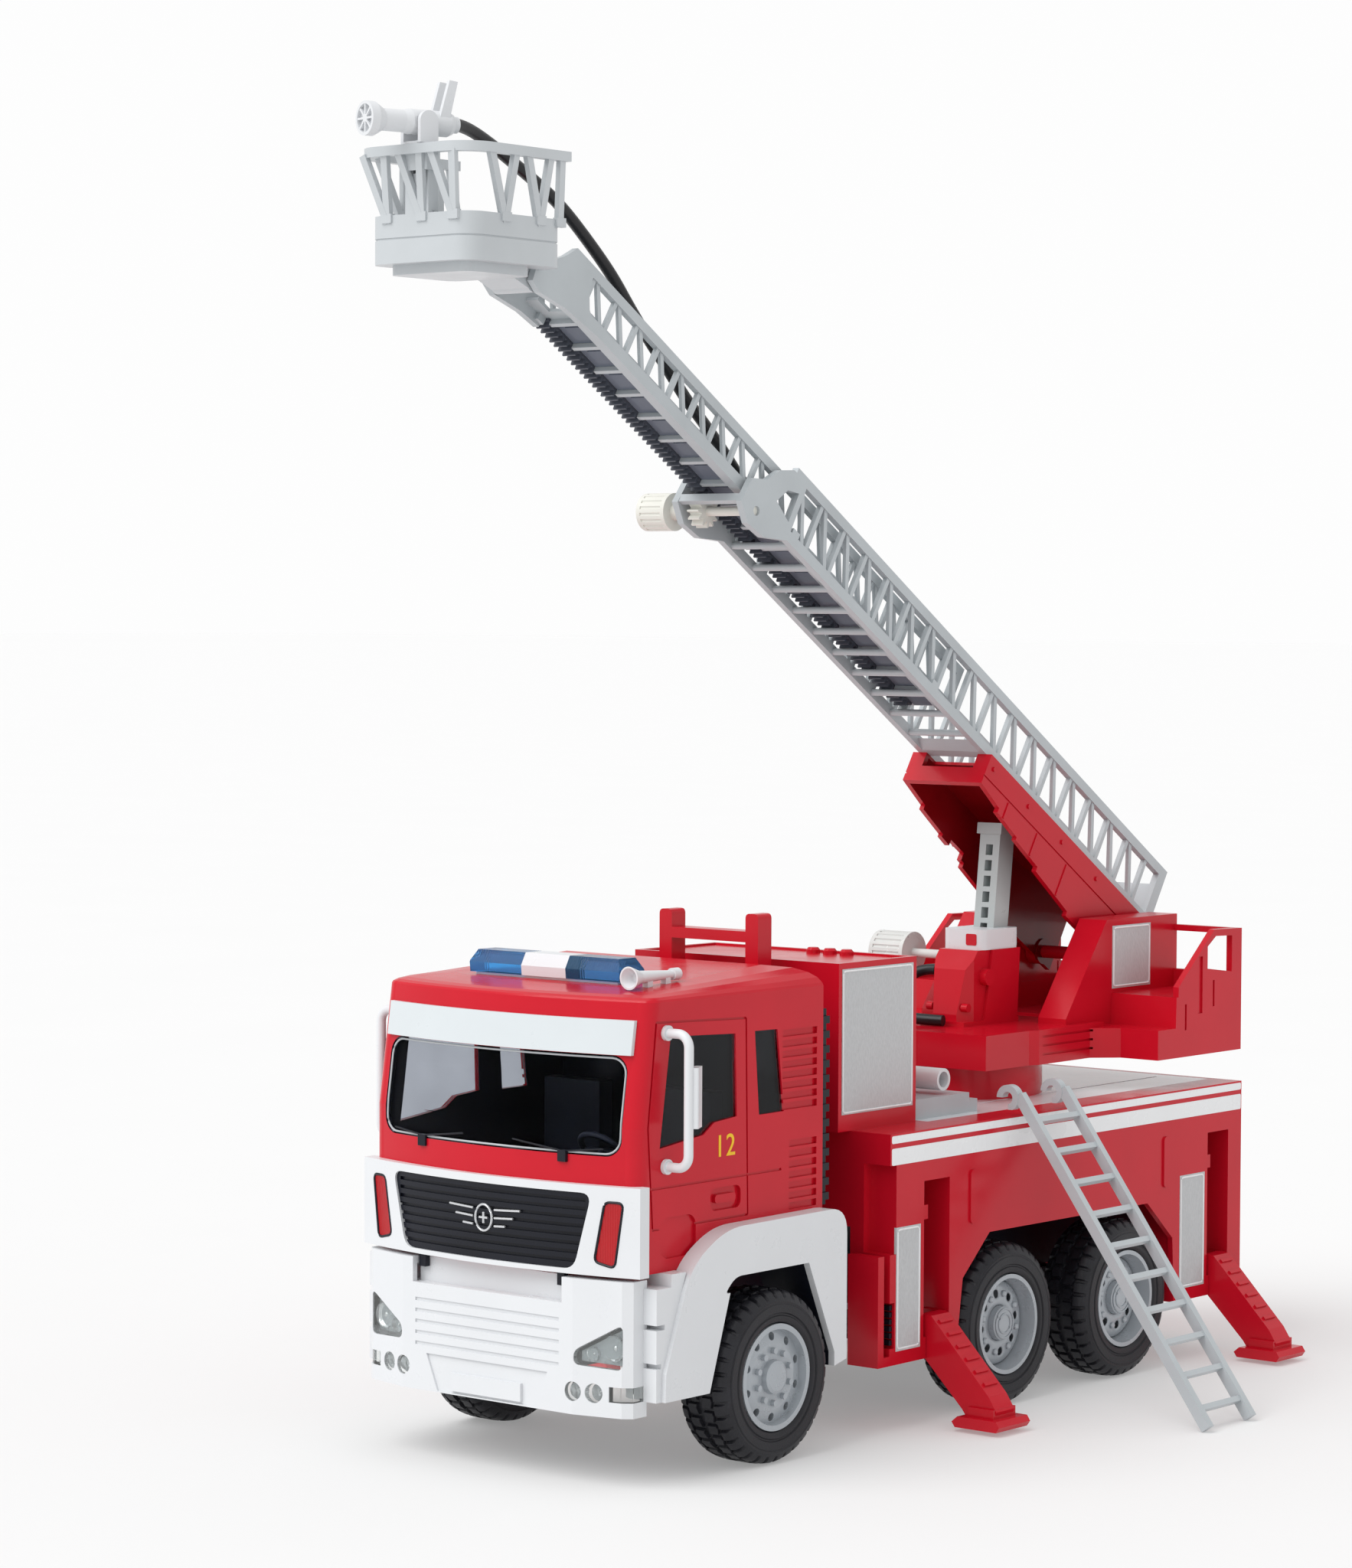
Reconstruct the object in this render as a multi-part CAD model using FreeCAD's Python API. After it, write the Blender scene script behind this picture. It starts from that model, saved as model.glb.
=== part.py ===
# Toy fire engine with a turntable, a two-stage ladder boom and a bucket.
# Build frame, in millimetres: +Z up from the ground, +X to the truck's left,
# +Y to the rear, y = 0 at the corner of the cab's front.
# On export everything moves so that the origin lies on the ground below the
# turntable's yaw axis.
import FreeCAD
import Part
import math
import os

V = FreeCAD.Vector

# ---- driving dimensions ------------------------------------------------------
AXIS_FROM_FRONT = 305.0       # yaw axis behind the cab's front corner
TYRE_R = 35.0
TYRE_W = 24.7
RIM_R = 21.4
AXLE_Z = 35.0
AXLE_ROD_R = 3.0
RUNNING = 0.05                # radial clearance of every running fit
WHEEL_SETS = {                # axle place along the truck, outer face of the tyre
    "front": (73.4, 80.3),
    "rear_1": (237.8, 77.3),
    "rear_2": (327.8, 77.3),
}
CAB_HALF = 70.0
CAB_BACK = 115.0
CAB_FLOOR = 83.0
CAB_TOP = 188.0
CAB_SLOPE_Z = 139.5           # the front leans back above this height
CAB_LEAN = 7.2                # how far it has leaned back at CAB_TOP
BODY_HALF = 75.65
BODY_FRONT = 153.8
BODY_REAR = 424.5
BODY_FLOOR = 28.0
DECK_Z = 124.0
RIM_LEDGE = 60.0              # inner edge of the red ledge round the deck plate
BOX_HALF = 55.0
BOX_FRONT = 145.0
BOX_REAR = 199.0
BOX_TOP = 194.0
PLATFORM_Z = 138.6            # underside of the platform
PLATFORM_TOP = 154.0
STATION_FRONT = 355.0
STATION_HALF = 75.0
STATION_FLOOR = 166.0
BRACKET_IN = 25.0
BRACKET_OUT = 40.0
BRACKET_TOP = 199.5
BOOM_PIVOT = (400.0, 180.0)   # y, z of the boom's hinge
BOOM_ANGLE = 32.6             # rest angle above the horizontal, degrees
HINGE_PIN_R = 3.0
SHROUD_HALF = 21.7
SHROUD_FRONT = 136.0
BASE_HALF = 18.7
BASE_LOW = 27.0               # the base ladder's rails above the hinge line
BASE_HIGH = 57.0
BASE_REAR = -21.0
BASE_FRONT = 318.0
FLY_HALF = 13.3
FLY_LOW = 31.2
FLY_HIGH = 53.5
FLY_INNER = 164.5
FLY_OUTER = 481.0
GEAR_MODULE = 1.0
PINION_TEETH = 12
PINION_S = 332.0              # the pinion's place along the boom
PINION_H = 26.0               # and above the hinge line
BUCKET_PIVOT = (5.0, 468.0)
TUB_HALF = 27.0
TUB_FRONT = -52.0
TUB_REAR = 4.5               # rear of the two arms beside the fly ladder
TUB_BACK = -4.5               # rear wall between the arms
TUB_Z = 472.0
TUB_TOP = 490.6
RAIL_Z = 512.8
RAIL_TOP = 516.6
ROD_LEAN = 6.6                # the lift rod leans back by this, degrees
ROD_TOP = (336.0, 243.0)      # y, z of the middle of the rod's top
ROD_LENGTH = 73.0
ROD_WIDTH = 11.0
LIFT_KNOB = (317.0, 183.6)
DRUM_R = 6.0
DRUM_ROOM_R = 7.0
KNOB_SHAFT_R = 2.0
LADDER_FOOT = (174.2, 1.5)    # x, z of the hook-on ladder's feet
LADDER_TOP = (78.3, 133.0)
LADDER_Y = (242.5, 275.5)
OUTRIGGER_PIVOT = (71.0, 39.5)
HOSE_R = 2.5
FRAME_FRONT = 5.2             # front end of the chassis channel, behind the bumper


# ---- solids ------------------------------------------------------------------
def box(x, y, z):
    return Part.makeBox(x[1] - x[0], y[1] - y[0], z[1] - z[0], V(x[0], y[0], z[0]))


def point_on(axis, a, b, level):
    """A point of the plane across an axis: its two other coordinates in X, Y, Z order."""
    return {"x": V(level, a, b), "y": V(a, level, b), "z": V(a, b, level)}[axis]


def prism(axis, points, start, end):
    """A closed outline in the plane across an axis, extruded from start to end."""
    corners = [point_on(axis, a, b, start) for a, b in points]
    face = Part.Face(Part.makePolygon(corners + corners[:1]))
    return face.extrude(point_on(axis, 0, 0, end) - point_on(axis, 0, 0, 0) - point_on(axis, 0, 0, start))


def rounded(axis, a, b, radius, start, end):
    """A rectangle with rounded corners, extruded along an axis."""
    block = prism(axis, [(a[0], b[0]), (a[1], b[0]), (a[1], b[1]), (a[0], b[1])], start, end)
    along = [edge for edge in block.Edges if abs(edge.tangentAt(edge.FirstParameter).dot(
        point_on(axis, 0, 0, 1))) > 0.99]
    return block.makeFillet(radius, along)


def rod(start, end, radius):
    start, end = V(*start), V(*end)
    return Part.makeCylinder(radius, (end - start).Length, start, end - start)


def cone(start, end, r_start, r_end):
    start, end = V(*start), V(*end)
    return Part.makeCone(r_start, r_end, (end - start).Length, start, end - start)


def bar(start, end, width, depth, up=(0, 0, 1)):
    """A straight square bar between two points."""
    start, end = V(*start), V(*end)
    along = (end - start).normalize()
    side = along.cross(V(*up)).normalize()
    other = side.cross(along)
    corners = [start + side * (width / 2 * i) + other * (depth / 2 * j)
               for i, j in ((-1, -1), (1, -1), (1, 1), (-1, 1))]
    face = Part.Face(Part.makePolygon(corners + corners[:1]))
    return face.extrude(end - start)


def fuse(*shapes):
    return shapes[0].multiFuse(shapes[1:]).removeSplitter()


def cut(base, *tools):
    return base.cut(list(tools)).removeSplitter()


def mirrored(shape):
    return shape.mirror(V(0, 0, 0), V(1, 0, 0))


def both(*shapes):
    """Each shape with its mirror image across the middle plane."""
    return [s for shape in shapes for s in (shape, mirrored(shape))]


def pair(shape):
    return Part.makeCompound([shape, mirrored(shape)])


def together(shapes):
    return Part.makeCompound(list(shapes))


def softened(points, reach, steps=5):
    """The outline with each corner turned into a curve that starts up to this far from it."""
    made = []
    for before, corner, after in zip(points[-1:] + points[:-1], points, points[1:] + points[:1]):
        ends = []
        for other in (before, after):
            length = math.dist(corner, other)
            share = min(reach / length, 0.45)
            ends.append([c + share * (o - c) for c, o in zip(corner, other)])
        for i in range(steps + 1):
            t = i / steps
            made.append(tuple((1 - t) ** 2 * a + 2 * t * (1 - t) * c + t * t * b
                              for a, c, b in zip(ends[0], corner, ends[1])))
    return made


def sections(shape, places):
    """The same shape as solids that touch at these places along X."""
    edges = [-500.0, *places, 500.0]
    return together([shape.common(box((low, high), (-500, 500), (-10, 600)))
                     for low, high in zip(edges, edges[1:])])


def tube_path(points, radius):
    """A round tube along straight runs that tangent arcs join."""
    points = [V(*p) for p in points]
    edges = []
    last = points[0]
    for before, corner, after in zip(points, points[1:], points[2:]):
        back = (before - corner)
        ahead = (after - corner)
        turn = math.pi - back.getAngle(ahead)
        reach = 0.45 * min(back.Length, ahead.Length)
        arc_radius = reach / math.tan(turn / 2)
        print("arc radius %.1f" % arc_radius)
        back.normalize()
        ahead.normalize()
        middle = (back + ahead).normalize()
        centre = corner + middle * (arc_radius / math.cos(turn / 2))
        first = corner + back * reach
        final = corner + ahead * reach
        edges.append(Part.LineSegment(last, first).toShape())
        edges.append(Part.Arc(first, centre - middle * arc_radius, final).toShape())
        last = final
    edges.append(Part.LineSegment(last, points[-1]).toShape())
    path = Part.Wire(edges)
    start = Part.Wire(Part.Circle(points[0], points[1] - points[0], radius).toShape())
    solid = path.makePipeShell([start], True, False)
    expected = math.pi * radius ** 2 * path.Length
    print("tube volume %.0f, section times length %.0f" % (solid.Volume, expected))
    return solid


def write(name, shape):
    shape = shape.copy()
    shape.translate(V(0, -AXIS_FROM_FRONT, 0))
    if not shape.isValid() or shape.Volume <= 0:
        print("BAD SHAPE", name, shape.Volume)
    shape.exportStep("parts/%s.step" % name)
    print("%-20s solids %2d  volume %9.0f" % (name, len(shape.Solids), shape.Volume))


# ---- the cab -----------------------------------------------------------------
def cab_outline(z, front, inset):
    """The cab in plan at one height: a bowed front, rounded corners, square back."""
    half = CAB_HALF - inset
    front = front + inset
    bow = V(0, front - 10, z)
    corner = half - 6
    shoulder = V(corner, front - 1.8, z)
    turn = V(half - 1.6, front + 0.3, z)
    side = V(half, front + 5, z)
    back = V(half, CAB_BACK - inset, z)
    left = [shoulder, turn, side, back]
    right = [V(-p.x, p.y, z) for p in left]
    return Part.Wire([
        Part.Arc(right[0], bow, left[0]).toShape(),
        Part.Arc(left[0], left[1], left[2]).toShape(),
        Part.LineSegment(left[2], left[3]).toShape(),
        Part.LineSegment(left[3], right[3]).toShape(),
        Part.LineSegment(right[3], right[2]).toShape(),
        Part.Arc(right[2], right[1], right[0]).toShape(),
    ])


def cab_solid(inset, bottom, top):
    """The cab's outer volume, moved in by the inset, between two heights."""
    slope = CAB_LEAN / (CAB_TOP - CAB_SLOPE_Z)
    pieces = []
    if bottom < CAB_SLOPE_Z:
        lower_top = min(top, CAB_SLOPE_Z)
        wire = cab_outline(bottom, 0, inset)
        pieces.append(Part.Face(wire).extrude(V(0, 0, lower_top - bottom)))
    if top > CAB_SLOPE_Z:
        low = max(bottom, CAB_SLOPE_Z)
        wires = [cab_outline(z, slope * (z - CAB_SLOPE_Z), inset) for z in (low, top)]
        pieces.append(Part.makeLoft(wires, True, True))
    return pieces[0] if len(pieces) == 1 else fuse(*pieces)


WINDSCREEN_Z = (128.5, 167.5)
WINDSCREEN_HALF = 62.5
VISOR_Z = (167.8, 181.2)
SIDE_WINDOWS = [
    [(18, 174.4), (58.2, 172.6), (59.3, 139.7), (45.2, 138.5), (38.4, 134.2), (11.6, 131.2)],
    [(70.5, 172.7), (85, 172.4), (89.4, 139.1), (73.4, 139)],
]
DOOR_LINE = [(9.4, 180.4), (64.9, 178.3), (66.5, 100), (7.5, 100), (4.5, 139.5)]


def windscreen_prism():
    return rounded("y", (-WINDSCREEN_HALF, WINDSCREEN_HALF), WINDSCREEN_Z, 7, -30, 30)


def side_window_prisms():
    return [prism("x", points, 40, 90) for points in SIDE_WINDOWS]


def groove(points, width, near, far):
    """Shallow grooves along a closed line in the side plane, as narrow blocks."""
    runs = zip(points, points[1:] + points[:1])
    middle = (near + far) / 2
    return [bar((middle, *a), (middle, *b), width, far - near, (1, 0, 0)) for a, b in runs]


def cab_shell():
    wall = 3.0
    shell = cut(cab_solid(0, CAB_FLOOR, CAB_TOP), cab_solid(wall, CAB_FLOOR + wall, CAB_TOP + 0.1))
    side = CAB_HALF
    cuts = side_window_prisms()
    cuts += groove(DOOR_LINE, 0.9, side - 0.7, side + 1)
    cuts += [box((side - 0.6, side + 1), (4, 88), (115.4, 116.4))]
    slat_pitch = 4.2
    cuts += [box((side - 1.2, side + 1), (88.5, 111), (139.5 + slat_pitch * i, 142.3 + slat_pitch * i))
             for i in range(8)]
    cuts += [box((side - 1.2, side + 1), (93, 111), (99 + slat_pitch * i, 101.8 + slat_pitch * i))
             for i in range(7)]
    cuts += [rounded("x", (43, 62), (103.5, 112.5), 3, side - 1.5, side + 1)]
    cuts += [rounded("x", (12, 34), (88, 104), 5, side - 1.2, side + 1)]
    handle = rounded("x", (46, 59), (106.3, 109.7), 1.5, side - 2, side - 0.1)
    shell = cut(shell, windscreen_prism(), *both(*cuts))
    return fuse(shell, *both(handle))


ROOF_SECTIONS = [(0, 0, 0), (0.4, 0.8, 0.2), (1.8, 1.6, 0.9), (4.5, 2.3, 1.7), (9, 2.7, 2.6), (18, 3.0, 3.4)]
ROOF_HINGE_Y = 5.0            # the crowned top tilts up to the rear from this line


def roof_form(inset, drop):
    """The crowned roof: each section is further in, higher, and tilted further up to the rear."""
    wires = []
    for inward, rise, tilt in ROOF_SECTIONS:
        wire = cab_outline(CAB_TOP + rise - drop, CAB_LEAN, inward + inset)
        wire.rotate(V(0, ROOF_HINGE_Y, CAB_TOP + rise - drop), V(1, 0, 0), tilt)
        wires.append(wire)
    return Part.makeLoft(wires, True, True)


def cab_roof():
    wall = 2.5
    return cut(roof_form(0, 0), roof_form(wall, wall), box((-80, 80), (-20, 120), (180, CAB_TOP)))


def windscreen():
    return cab_solid(0.5, 127, 169).cut(cab_solid(2.1, 126, 170)).common(windscreen_prism())


def side_windows():
    panes = [prism("x", points, CAB_HALF - 2.2, CAB_HALF - 0.8) for points in SIDE_WINDOWS]
    return together(both(*panes))


def sun_visor():
    band = cab_solid(-1.4, *VISOR_Z).cut(cab_solid(0, 160, 186))
    return band.common(box((-64.4, 64.4), (-30, 8), VISOR_Z))


GRILLE_OUTLINE = softened([(-52.4, 114.4), (52.4, 114.4), (44.6, 84.4), (-44.6, 84.4)], 5)
MARKER_OUTLINE = softened([(53.5, 88), (62.5, 86), (66, 111.5), (58, 111.5)], 2.5)


def bowed_front(depth, half, edge):
    """A plan outline whose front bows from the corners to the middle."""
    def make(z_low, z_high):
        wire = Part.Wire([
            Part.Arc(V(-half, edge, z_low), V(0, -depth, z_low), V(half, edge, z_low)).toShape(),
            Part.LineSegment(V(half, edge, z_low), V(half, 2, z_low)).toShape(),
            Part.LineSegment(V(half, 2, z_low), V(-half, 2, z_low)).toShape(),
            Part.LineSegment(V(-half, 2, z_low), V(-half, edge, z_low)).toShape(),
        ])
        return Part.Face(wire).extrude(V(0, 0, z_high - z_low))
    return make


def grille_panel():
    panel = bowed_front(13.2, 73, -3.5)(82.5, 117.5)
    opening = prism("y", GRILLE_OUTLINE, -30, 30)
    lamps = both(prism("y", MARKER_OUTLINE, -30, 30))
    return cut(panel, cab_solid(0, 70, 120), opening, *lamps)


def grille():
    face = bowed_front(12.0, 73, -2.6)(84, 115)
    block = face.common(prism("y", GRILLE_OUTLINE, -30, 30)).cut(cab_solid(0, 70, 120))
    behind = bowed_front(11.0, 73, -1.6)(80, 120)
    pitch = 3.4
    slots = [box((-49, 49), (-30, 0), (87 + pitch * i, 88.4 + pitch * i)).cut(behind) for i in range(8)]
    return cut(block, *slots)


def marker_lamps():
    face = bowed_front(12.9, 73, -3.3)(84, 115)
    lamp = face.common(prism("y", MARKER_OUTLINE, -30, 30)).cut(cab_solid(0, 70, 120))
    return pair(lamp)


BUMPER_Z = (28.0, 81.0)
HEADLAMP = softened([(45.4, 47.5), (45.4, 53), (66.3, 64.5), (66.3, 46.5)], 3)
FOG_LAMPS = (44.9, 54.1)
FOG_Z = 37.0


def bumper_plan(inset, z_low, z_high, back):
    left = [(69.5 - inset, back), (69.5 - inset, -3 + inset), (66 - inset, -5.8 + inset),
            (45, -10.7 + inset)]
    points = left + [(-x, y) for x, y in reversed(left)]
    return prism("z", points, z_low, z_high)


def lamp_cutters():
    shapes = [prism("y", HEADLAMP, -30, 10)]
    shapes += [rod((x, -30, FOG_Z), (x, 10, FOG_Z), 3.8) for x in FOG_LAMPS]
    shapes += [box((60.5, 72), (-30, 4), (34, 40))]
    return shapes


def bumper():
    wall = 2.5
    block = bumper_plan(0, *BUMPER_Z, 5)
    hollow = bumper_plan(wall, BUMPER_Z[0] - 1, BUMPER_Z[1] - 3, 10)
    ledge = box((-39.4, 39.4), (-30, -5.5), (71, 90))
    shelf = box((-45, 45), (-9, -0.5), (66, 71))
    ledge_back = box((-40, 40), (-5.5, -3.5), (70, 80))
    ribs = [box((-38, 38), (-30, -10.1), (46 + 4.4 * i, 47.4 + 4.4 * i)) for i in range(5)]
    recess = prism("y", [(-32, 43), (32, 43), (26, 28.5), (-26, 28.5)], -30, -9.8)
    plate = box((-18.5, 18.5), (-11.2, -9.5), (29.6, 36.8))
    body = cut(fuse(block.cut(hollow), shelf, ledge_back), ledge, *ribs, recess, *both(*lamp_cutters()))
    feet = both(box((24, 28), (-8.3, FRAME_FRONT), (45, 60)))
    return fuse(body, plate, *feet)


def headlamps():
    """The headlamp, fog lamp and corner lamp glasses of both sides."""
    skin = bumper_plan(0.4, *BUMPER_Z, 3).cut(bumper_plan(2.5, 20, 90, 10))
    lenses = [skin.common(cutter) for cutter in lamp_cutters()]
    return together(both(*lenses))


FENDER_TOP = 98.0
FENDER_OUTER = [(6.2, 34.0), (6.6, 44.9), (21.7, 85.2), (43.4, 97.6), (121.4, FENDER_TOP), (121.4, 36),
                (113.3, 34), (33.3, 34)]
FENDER_CORNERS = (2, 3, 4)    # the corners of the outline that are curved
WHEEL_OPENING = [(33.3, 20), (33.3, 33.8), *softened([(41.9, 71.4), (49.2, 78), (96.2, 78)], 4)[:-6],
                 (96.2, 78), (113.3, 39.8), (113.3, 20)]


def fender_block():
    """The fender's outer volume on the left side, its upper corners rounded."""
    smooth = softened(FENDER_OUTER, 11, 7)
    outline = []
    for i, corner in enumerate(FENDER_OUTER):
        outline += smooth[8 * i:8 * i + 8] if i in FENDER_CORNERS else [corner]
    return prism("x", outline, 58, 78)


def front_fenders():
    block = fender_block()
    opening = prism("x", WHEEL_OPENING, 50, 90)
    hollow = prism("x", [(12, 30), (25, 80), (46, 92), (110, 94), (117.5, 84), (118, 60), (118, 30)],
                   50, 75)
    fender = cut(block, opening, hollow)
    return pair(cut(fender, cab_solid(0, 70, 130)))


def fender_liners():
    """The dark inner walls round the front wheels, and the cab's floor pans behind them."""
    outer = prism("x", [(31.3, 34), (40, 72.6), (48.4, 80), (97.4, 80), (115.3, 40.5), (115.3, 34)],
                  50, 75)
    inner = prism("x", WHEEL_OPENING, 40, 90)
    return pair(outer.cut(inner))


def cab_steps():
    treads = [(3, 34), (3, 47), (6, 47), (6, 49), (3, 49), (3, 62), (8, 62), (8, 64), (3, 64),
              (3, 78), (12, 78), (12, 83), (20.9, 83), (6.6, 44.9), (6.2, 34)]
    block = prism("x", treads, 60, 76)
    return pair(block.cut([bumper_plan(0, 20, 90, 5), fender_block()]))


MIRROR_X = 81.5
MIRROR_Y = 15.2


def mirrors():
    arm = tube_path([(CAB_HALF, MIRROR_Y, 176), (MIRROR_X, MIRROR_Y, 176), (MIRROR_X, MIRROR_Y, 124),
                     (CAB_HALF, MIRROR_Y, 124)], 1.9)
    pads = [rod((CAB_HALF, MIRROR_Y, z), (CAB_HALF + 1.5, MIRROR_Y, z), 3.0) for z in (124, 176)]
    pane = prism("z", softened([(82.0, 15.0), (78.6, 22.6), (80.8, 24.4), (85.0, 16.8)], 0.8), 139.7, 163.3)
    return pair(fuse(arm, *pads, pane))


LIGHT_BAR_PROFILE = [(23.0, 193.2), (38.0, 193.2), (38.4, 197.2), (35.6, 202.2), (25.4, 202.2),
                     (22.6, 197.2)]


def light_bar_base():
    foot = box((-37.5, 37.5), (24.5, 36.5), (189, 193.2)).cut(roof_form(0, 0))
    return fuse(foot, prism("x", LIGHT_BAR_PROFILE, -11.7, 11.7))


def light_bar_lenses():
    lens = prism("x", LIGHT_BAR_PROFILE, 11.7, 39.5)
    slope = prism("y", [(36.8, 203), (39.6, 197.6), (45, 197.6), (45, 203)], 10, 50)
    return pair(lens.cut(slope))


HORN_X = 52.0
HORN_Z = 196.2


def horn():
    x, z = HORN_X, HORN_Z
    body = fuse(
        cone((x, 14, z), (x, 20, z), 4.6, 2.6),
        cone((x, 20, z), (x, 40, z), 2.6, 1.6),
        rod((x, 40, z), (x, 44, z), 2.4),
    )
    mouth = cone((x, 13.9, z), (x, 18.5, z), 4.0, 1.6)
    feet = [box((x - 1.4, x + 1.4), (y, y + 3), (188.5, z)).cut(roof_form(0, 0)) for y in (24, 35)]
    return cut(fuse(body, *feet), mouth)


RACK_NOTCH_HALF = 19.8        # half the width between the posts


def ladder_rack():
    """A notched stand behind the roof that the lowered boom rests in."""
    y = (127, 136)
    outline = [(RACK_NOTCH_HALF, 188), (26.5, 188), (26.5, 214), (RACK_NOTCH_HALF, 214)]
    posts = both(prism("y", softened(outline, 2.2), *y))
    rest = box((-20, 20), y, (202, 206.5))
    bottom = box((-26.5, 26.5), y, (182, 190))
    arm = box((-26.5, 26.5), (121, 128), (172, 190))
    return fuse(rest, bottom, arm, *posts)


def cab_interior():
    """Dashboard, seats and steering wheel, seen dimly through the glass."""
    dash = prism("x", [(4, 86), (4, 124), (14, 124), (20, 112), (18, 86)], -60, 60)
    seats = both(fuse(box((14, 44), (52, 78), (86, 108)), box((14, 44), (74, 82), (108, 146))))
    column = rod((30, 15, 116), (30, 25, 126), 1.6)
    wheel = Part.makeTorus(10, 1.3, V(30, 25, 126), V(0, 1, 1))
    spokes = [rod((20, 25, 126), (40, 25, 126), 1.0)]
    return together([fuse(dash, column, wheel, *spokes), *seats])


def intake_duct():
    """The dark ribbed back wall between the cab and the equipment box."""
    back = box((-67, 67), (CAB_BACK, 121), (FENDER_TOP, 178))
    ribs = both(*[box((65.5, 68), (CAB_BACK, 122), (100 + 6 * i, 103 + 6 * i)) for i in range(13)])
    return fuse(back, *ribs)


# ---- the body ----------------------------------------------------------------
def axle_rails():
    """The dark channel frame, bolted up from rails, floor, posts and axle blocks that touch face to face."""
    low_rail = [(FRAME_FRONT, 45), (FRAME_FRONT, CAB_FLOOR), (158, CAB_FLOOR), (158, 45)]
    rise = [(158, 45), (158, CAB_FLOOR), (172, 116), (172, 45)]
    high_rail = [(172, 45), (172, 116), (418, 116), (418, 45)]
    pieces = both(*[prism("x", outline, 24, 28) for outline in (low_rail, rise, high_rail)])
    pieces.append(box((-24, 24), (FRAME_FRONT, 418), (45, 48)))
    pieces += both(*[box((28, 50), (y, y + 4), (78, CAB_FLOOR)) for y in (20, 70, 110)])
    for y, _ in WHEEL_SETS.values():
        bore = rod((-60, y, AXLE_Z), (60, y, AXLE_Z), AXLE_ROD_R + RUNNING)
        pieces += both(cut(box((18, 34), (y - 8, y + 8), (28.5, 45)), bore))
    return together(pieces)


ARCH = [(202.0, 20), (202.0, 36), (205.3, 58.5), (224.7, 76), (346.6, 75.3), (367.2, 57.5),
        (368.4, 37.9), (368.4, 20)]
SLOTS = [(177.4, 195.5), (396.0, 413.5)]
SLOT_Z = (37.0, 102.5)
LOCKERS = [(158.0, 175.0), (373.0, 393.6)]
LOCKER_Z = (33.5, 85.0)
MODULE_IN = 55.0              # inner side of the lockers beside the chassis


def body_shell():
    wall = 2.6
    half = BODY_HALF
    block = box((-half, half), (BODY_FRONT, BODY_REAR), (BODY_FLOOR, DECK_Z))
    hollow = box((-MODULE_IN, MODULE_IN), (BODY_FRONT + wall, BODY_REAR - wall), (0, 116))
    front_gap = box((-MODULE_IN, MODULE_IN), (BODY_FRONT - 1, BODY_FRONT + 10), (0, 84))
    plate_recess = box((-RIM_LEDGE, RIM_LEDGE), (BOX_REAR + 2, BODY_REAR - 4.5), (DECK_Z - 3, DECK_Z + 1))
    arch = prism("x", ARCH, 40, 90)
    wheel_room = box((MODULE_IN - 1, half - wall), (201.6, 368.4), (10, 116))
    cuts = [arch, wheel_room]
    for low, high in SLOTS:
        cuts.append(box((60, half + 1), (low, high), SLOT_Z))
        cuts.append(box((60, half + 1), (low + 2, high - 2), (BODY_FLOOR - 1, SLOT_Z[1])))
        cuts.append(box((MODULE_IN - 1, 73), (low, high), (38, 100)))
    for low, high in LOCKERS:
        cuts.append(box((half - 1.0, half + 1), (low, high), LOCKER_Z))
        cuts.append(box((MODULE_IN - 1, half - 4), (low + 1, high - 1), (31, 110)))
    cuts.append(box((62, 79), (BODY_FRONT - 1, 158), (74, 111)))
    cuts.append(box((65, 77), (BODY_FRONT - 1, 157), (35, 54)))
    shell = cut(block, hollow, front_gap, plate_recess, *both(*cuts))
    pills = [rounded("x", (y - 2.2, y + 2.2), (81, 104), 2.0, half - 0.5, half + 0.8)
             for y in (212.0, 361.0)]
    clips = [box((62, 74), (low - 1, low + 5), (86, 92)) for low, _ in SLOTS]
    lower_bars = [box((60, half), (BODY_FRONT - 8, BODY_FRONT + 1), (28, 32)),
                  box((60, half), (BODY_FRONT - 8, BODY_FRONT - 4), (32, 74))]
    hinge_ears = []
    for low, high in SLOTS:
        for y in (low, high - 2):
            hinge_ears.append(box((62, 74), (y, y + 2), (33, 46)))
    shell = fuse(shell, *both(*pills, *clips, *lower_bars, *hinge_ears))
    pin_x, pin_z = OUTRIGGER_PIVOT
    holes = [rod((pin_x, low - 3, pin_z), (pin_x, high + 3, pin_z), 1.5 + RUNNING) for low, high in SLOTS]
    return sections(cut(shell, *both(*holes)), [-MODULE_IN, MODULE_IN])


BUTTON_R = 3.0
BUTTON_PLACES = [(6.0, 191.0), (15.0, 191.0), (24.0, 191.0)]


def equipment_box():
    wall = 2.5
    half = BOX_HALF
    block = box((-half, half), (BOX_FRONT, BOX_REAR), (DECK_Z, BOX_TOP))
    hollow = box((wall - half, half - wall), (BOX_FRONT + wall, BOX_REAR - wall),
                 (DECK_Z + wall, BOX_TOP - wall))
    panel = both(box((half - 0.8, half + 1), (BOX_FRONT + 2.2, BOX_REAR - 2.4), (131, 191.5)))
    lid = box((-half + 2.5, half - 2.5), (BOX_FRONT + 2.5, BOX_REAR - 2.5), (BOX_TOP - 0.8, BOX_TOP + 1))
    holes = [rod((x, y, BOX_TOP - 9), (x, y, BOX_TOP + 1), BUTTON_R + RUNNING) for x, y in BUTTON_PLACES]
    inlet = box((-20, 20), (150, 190), (DECK_Z - 1, DECK_Z + wall + 1))
    return cut(block, hollow, lid, inlet, *panel, *holes)


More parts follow.
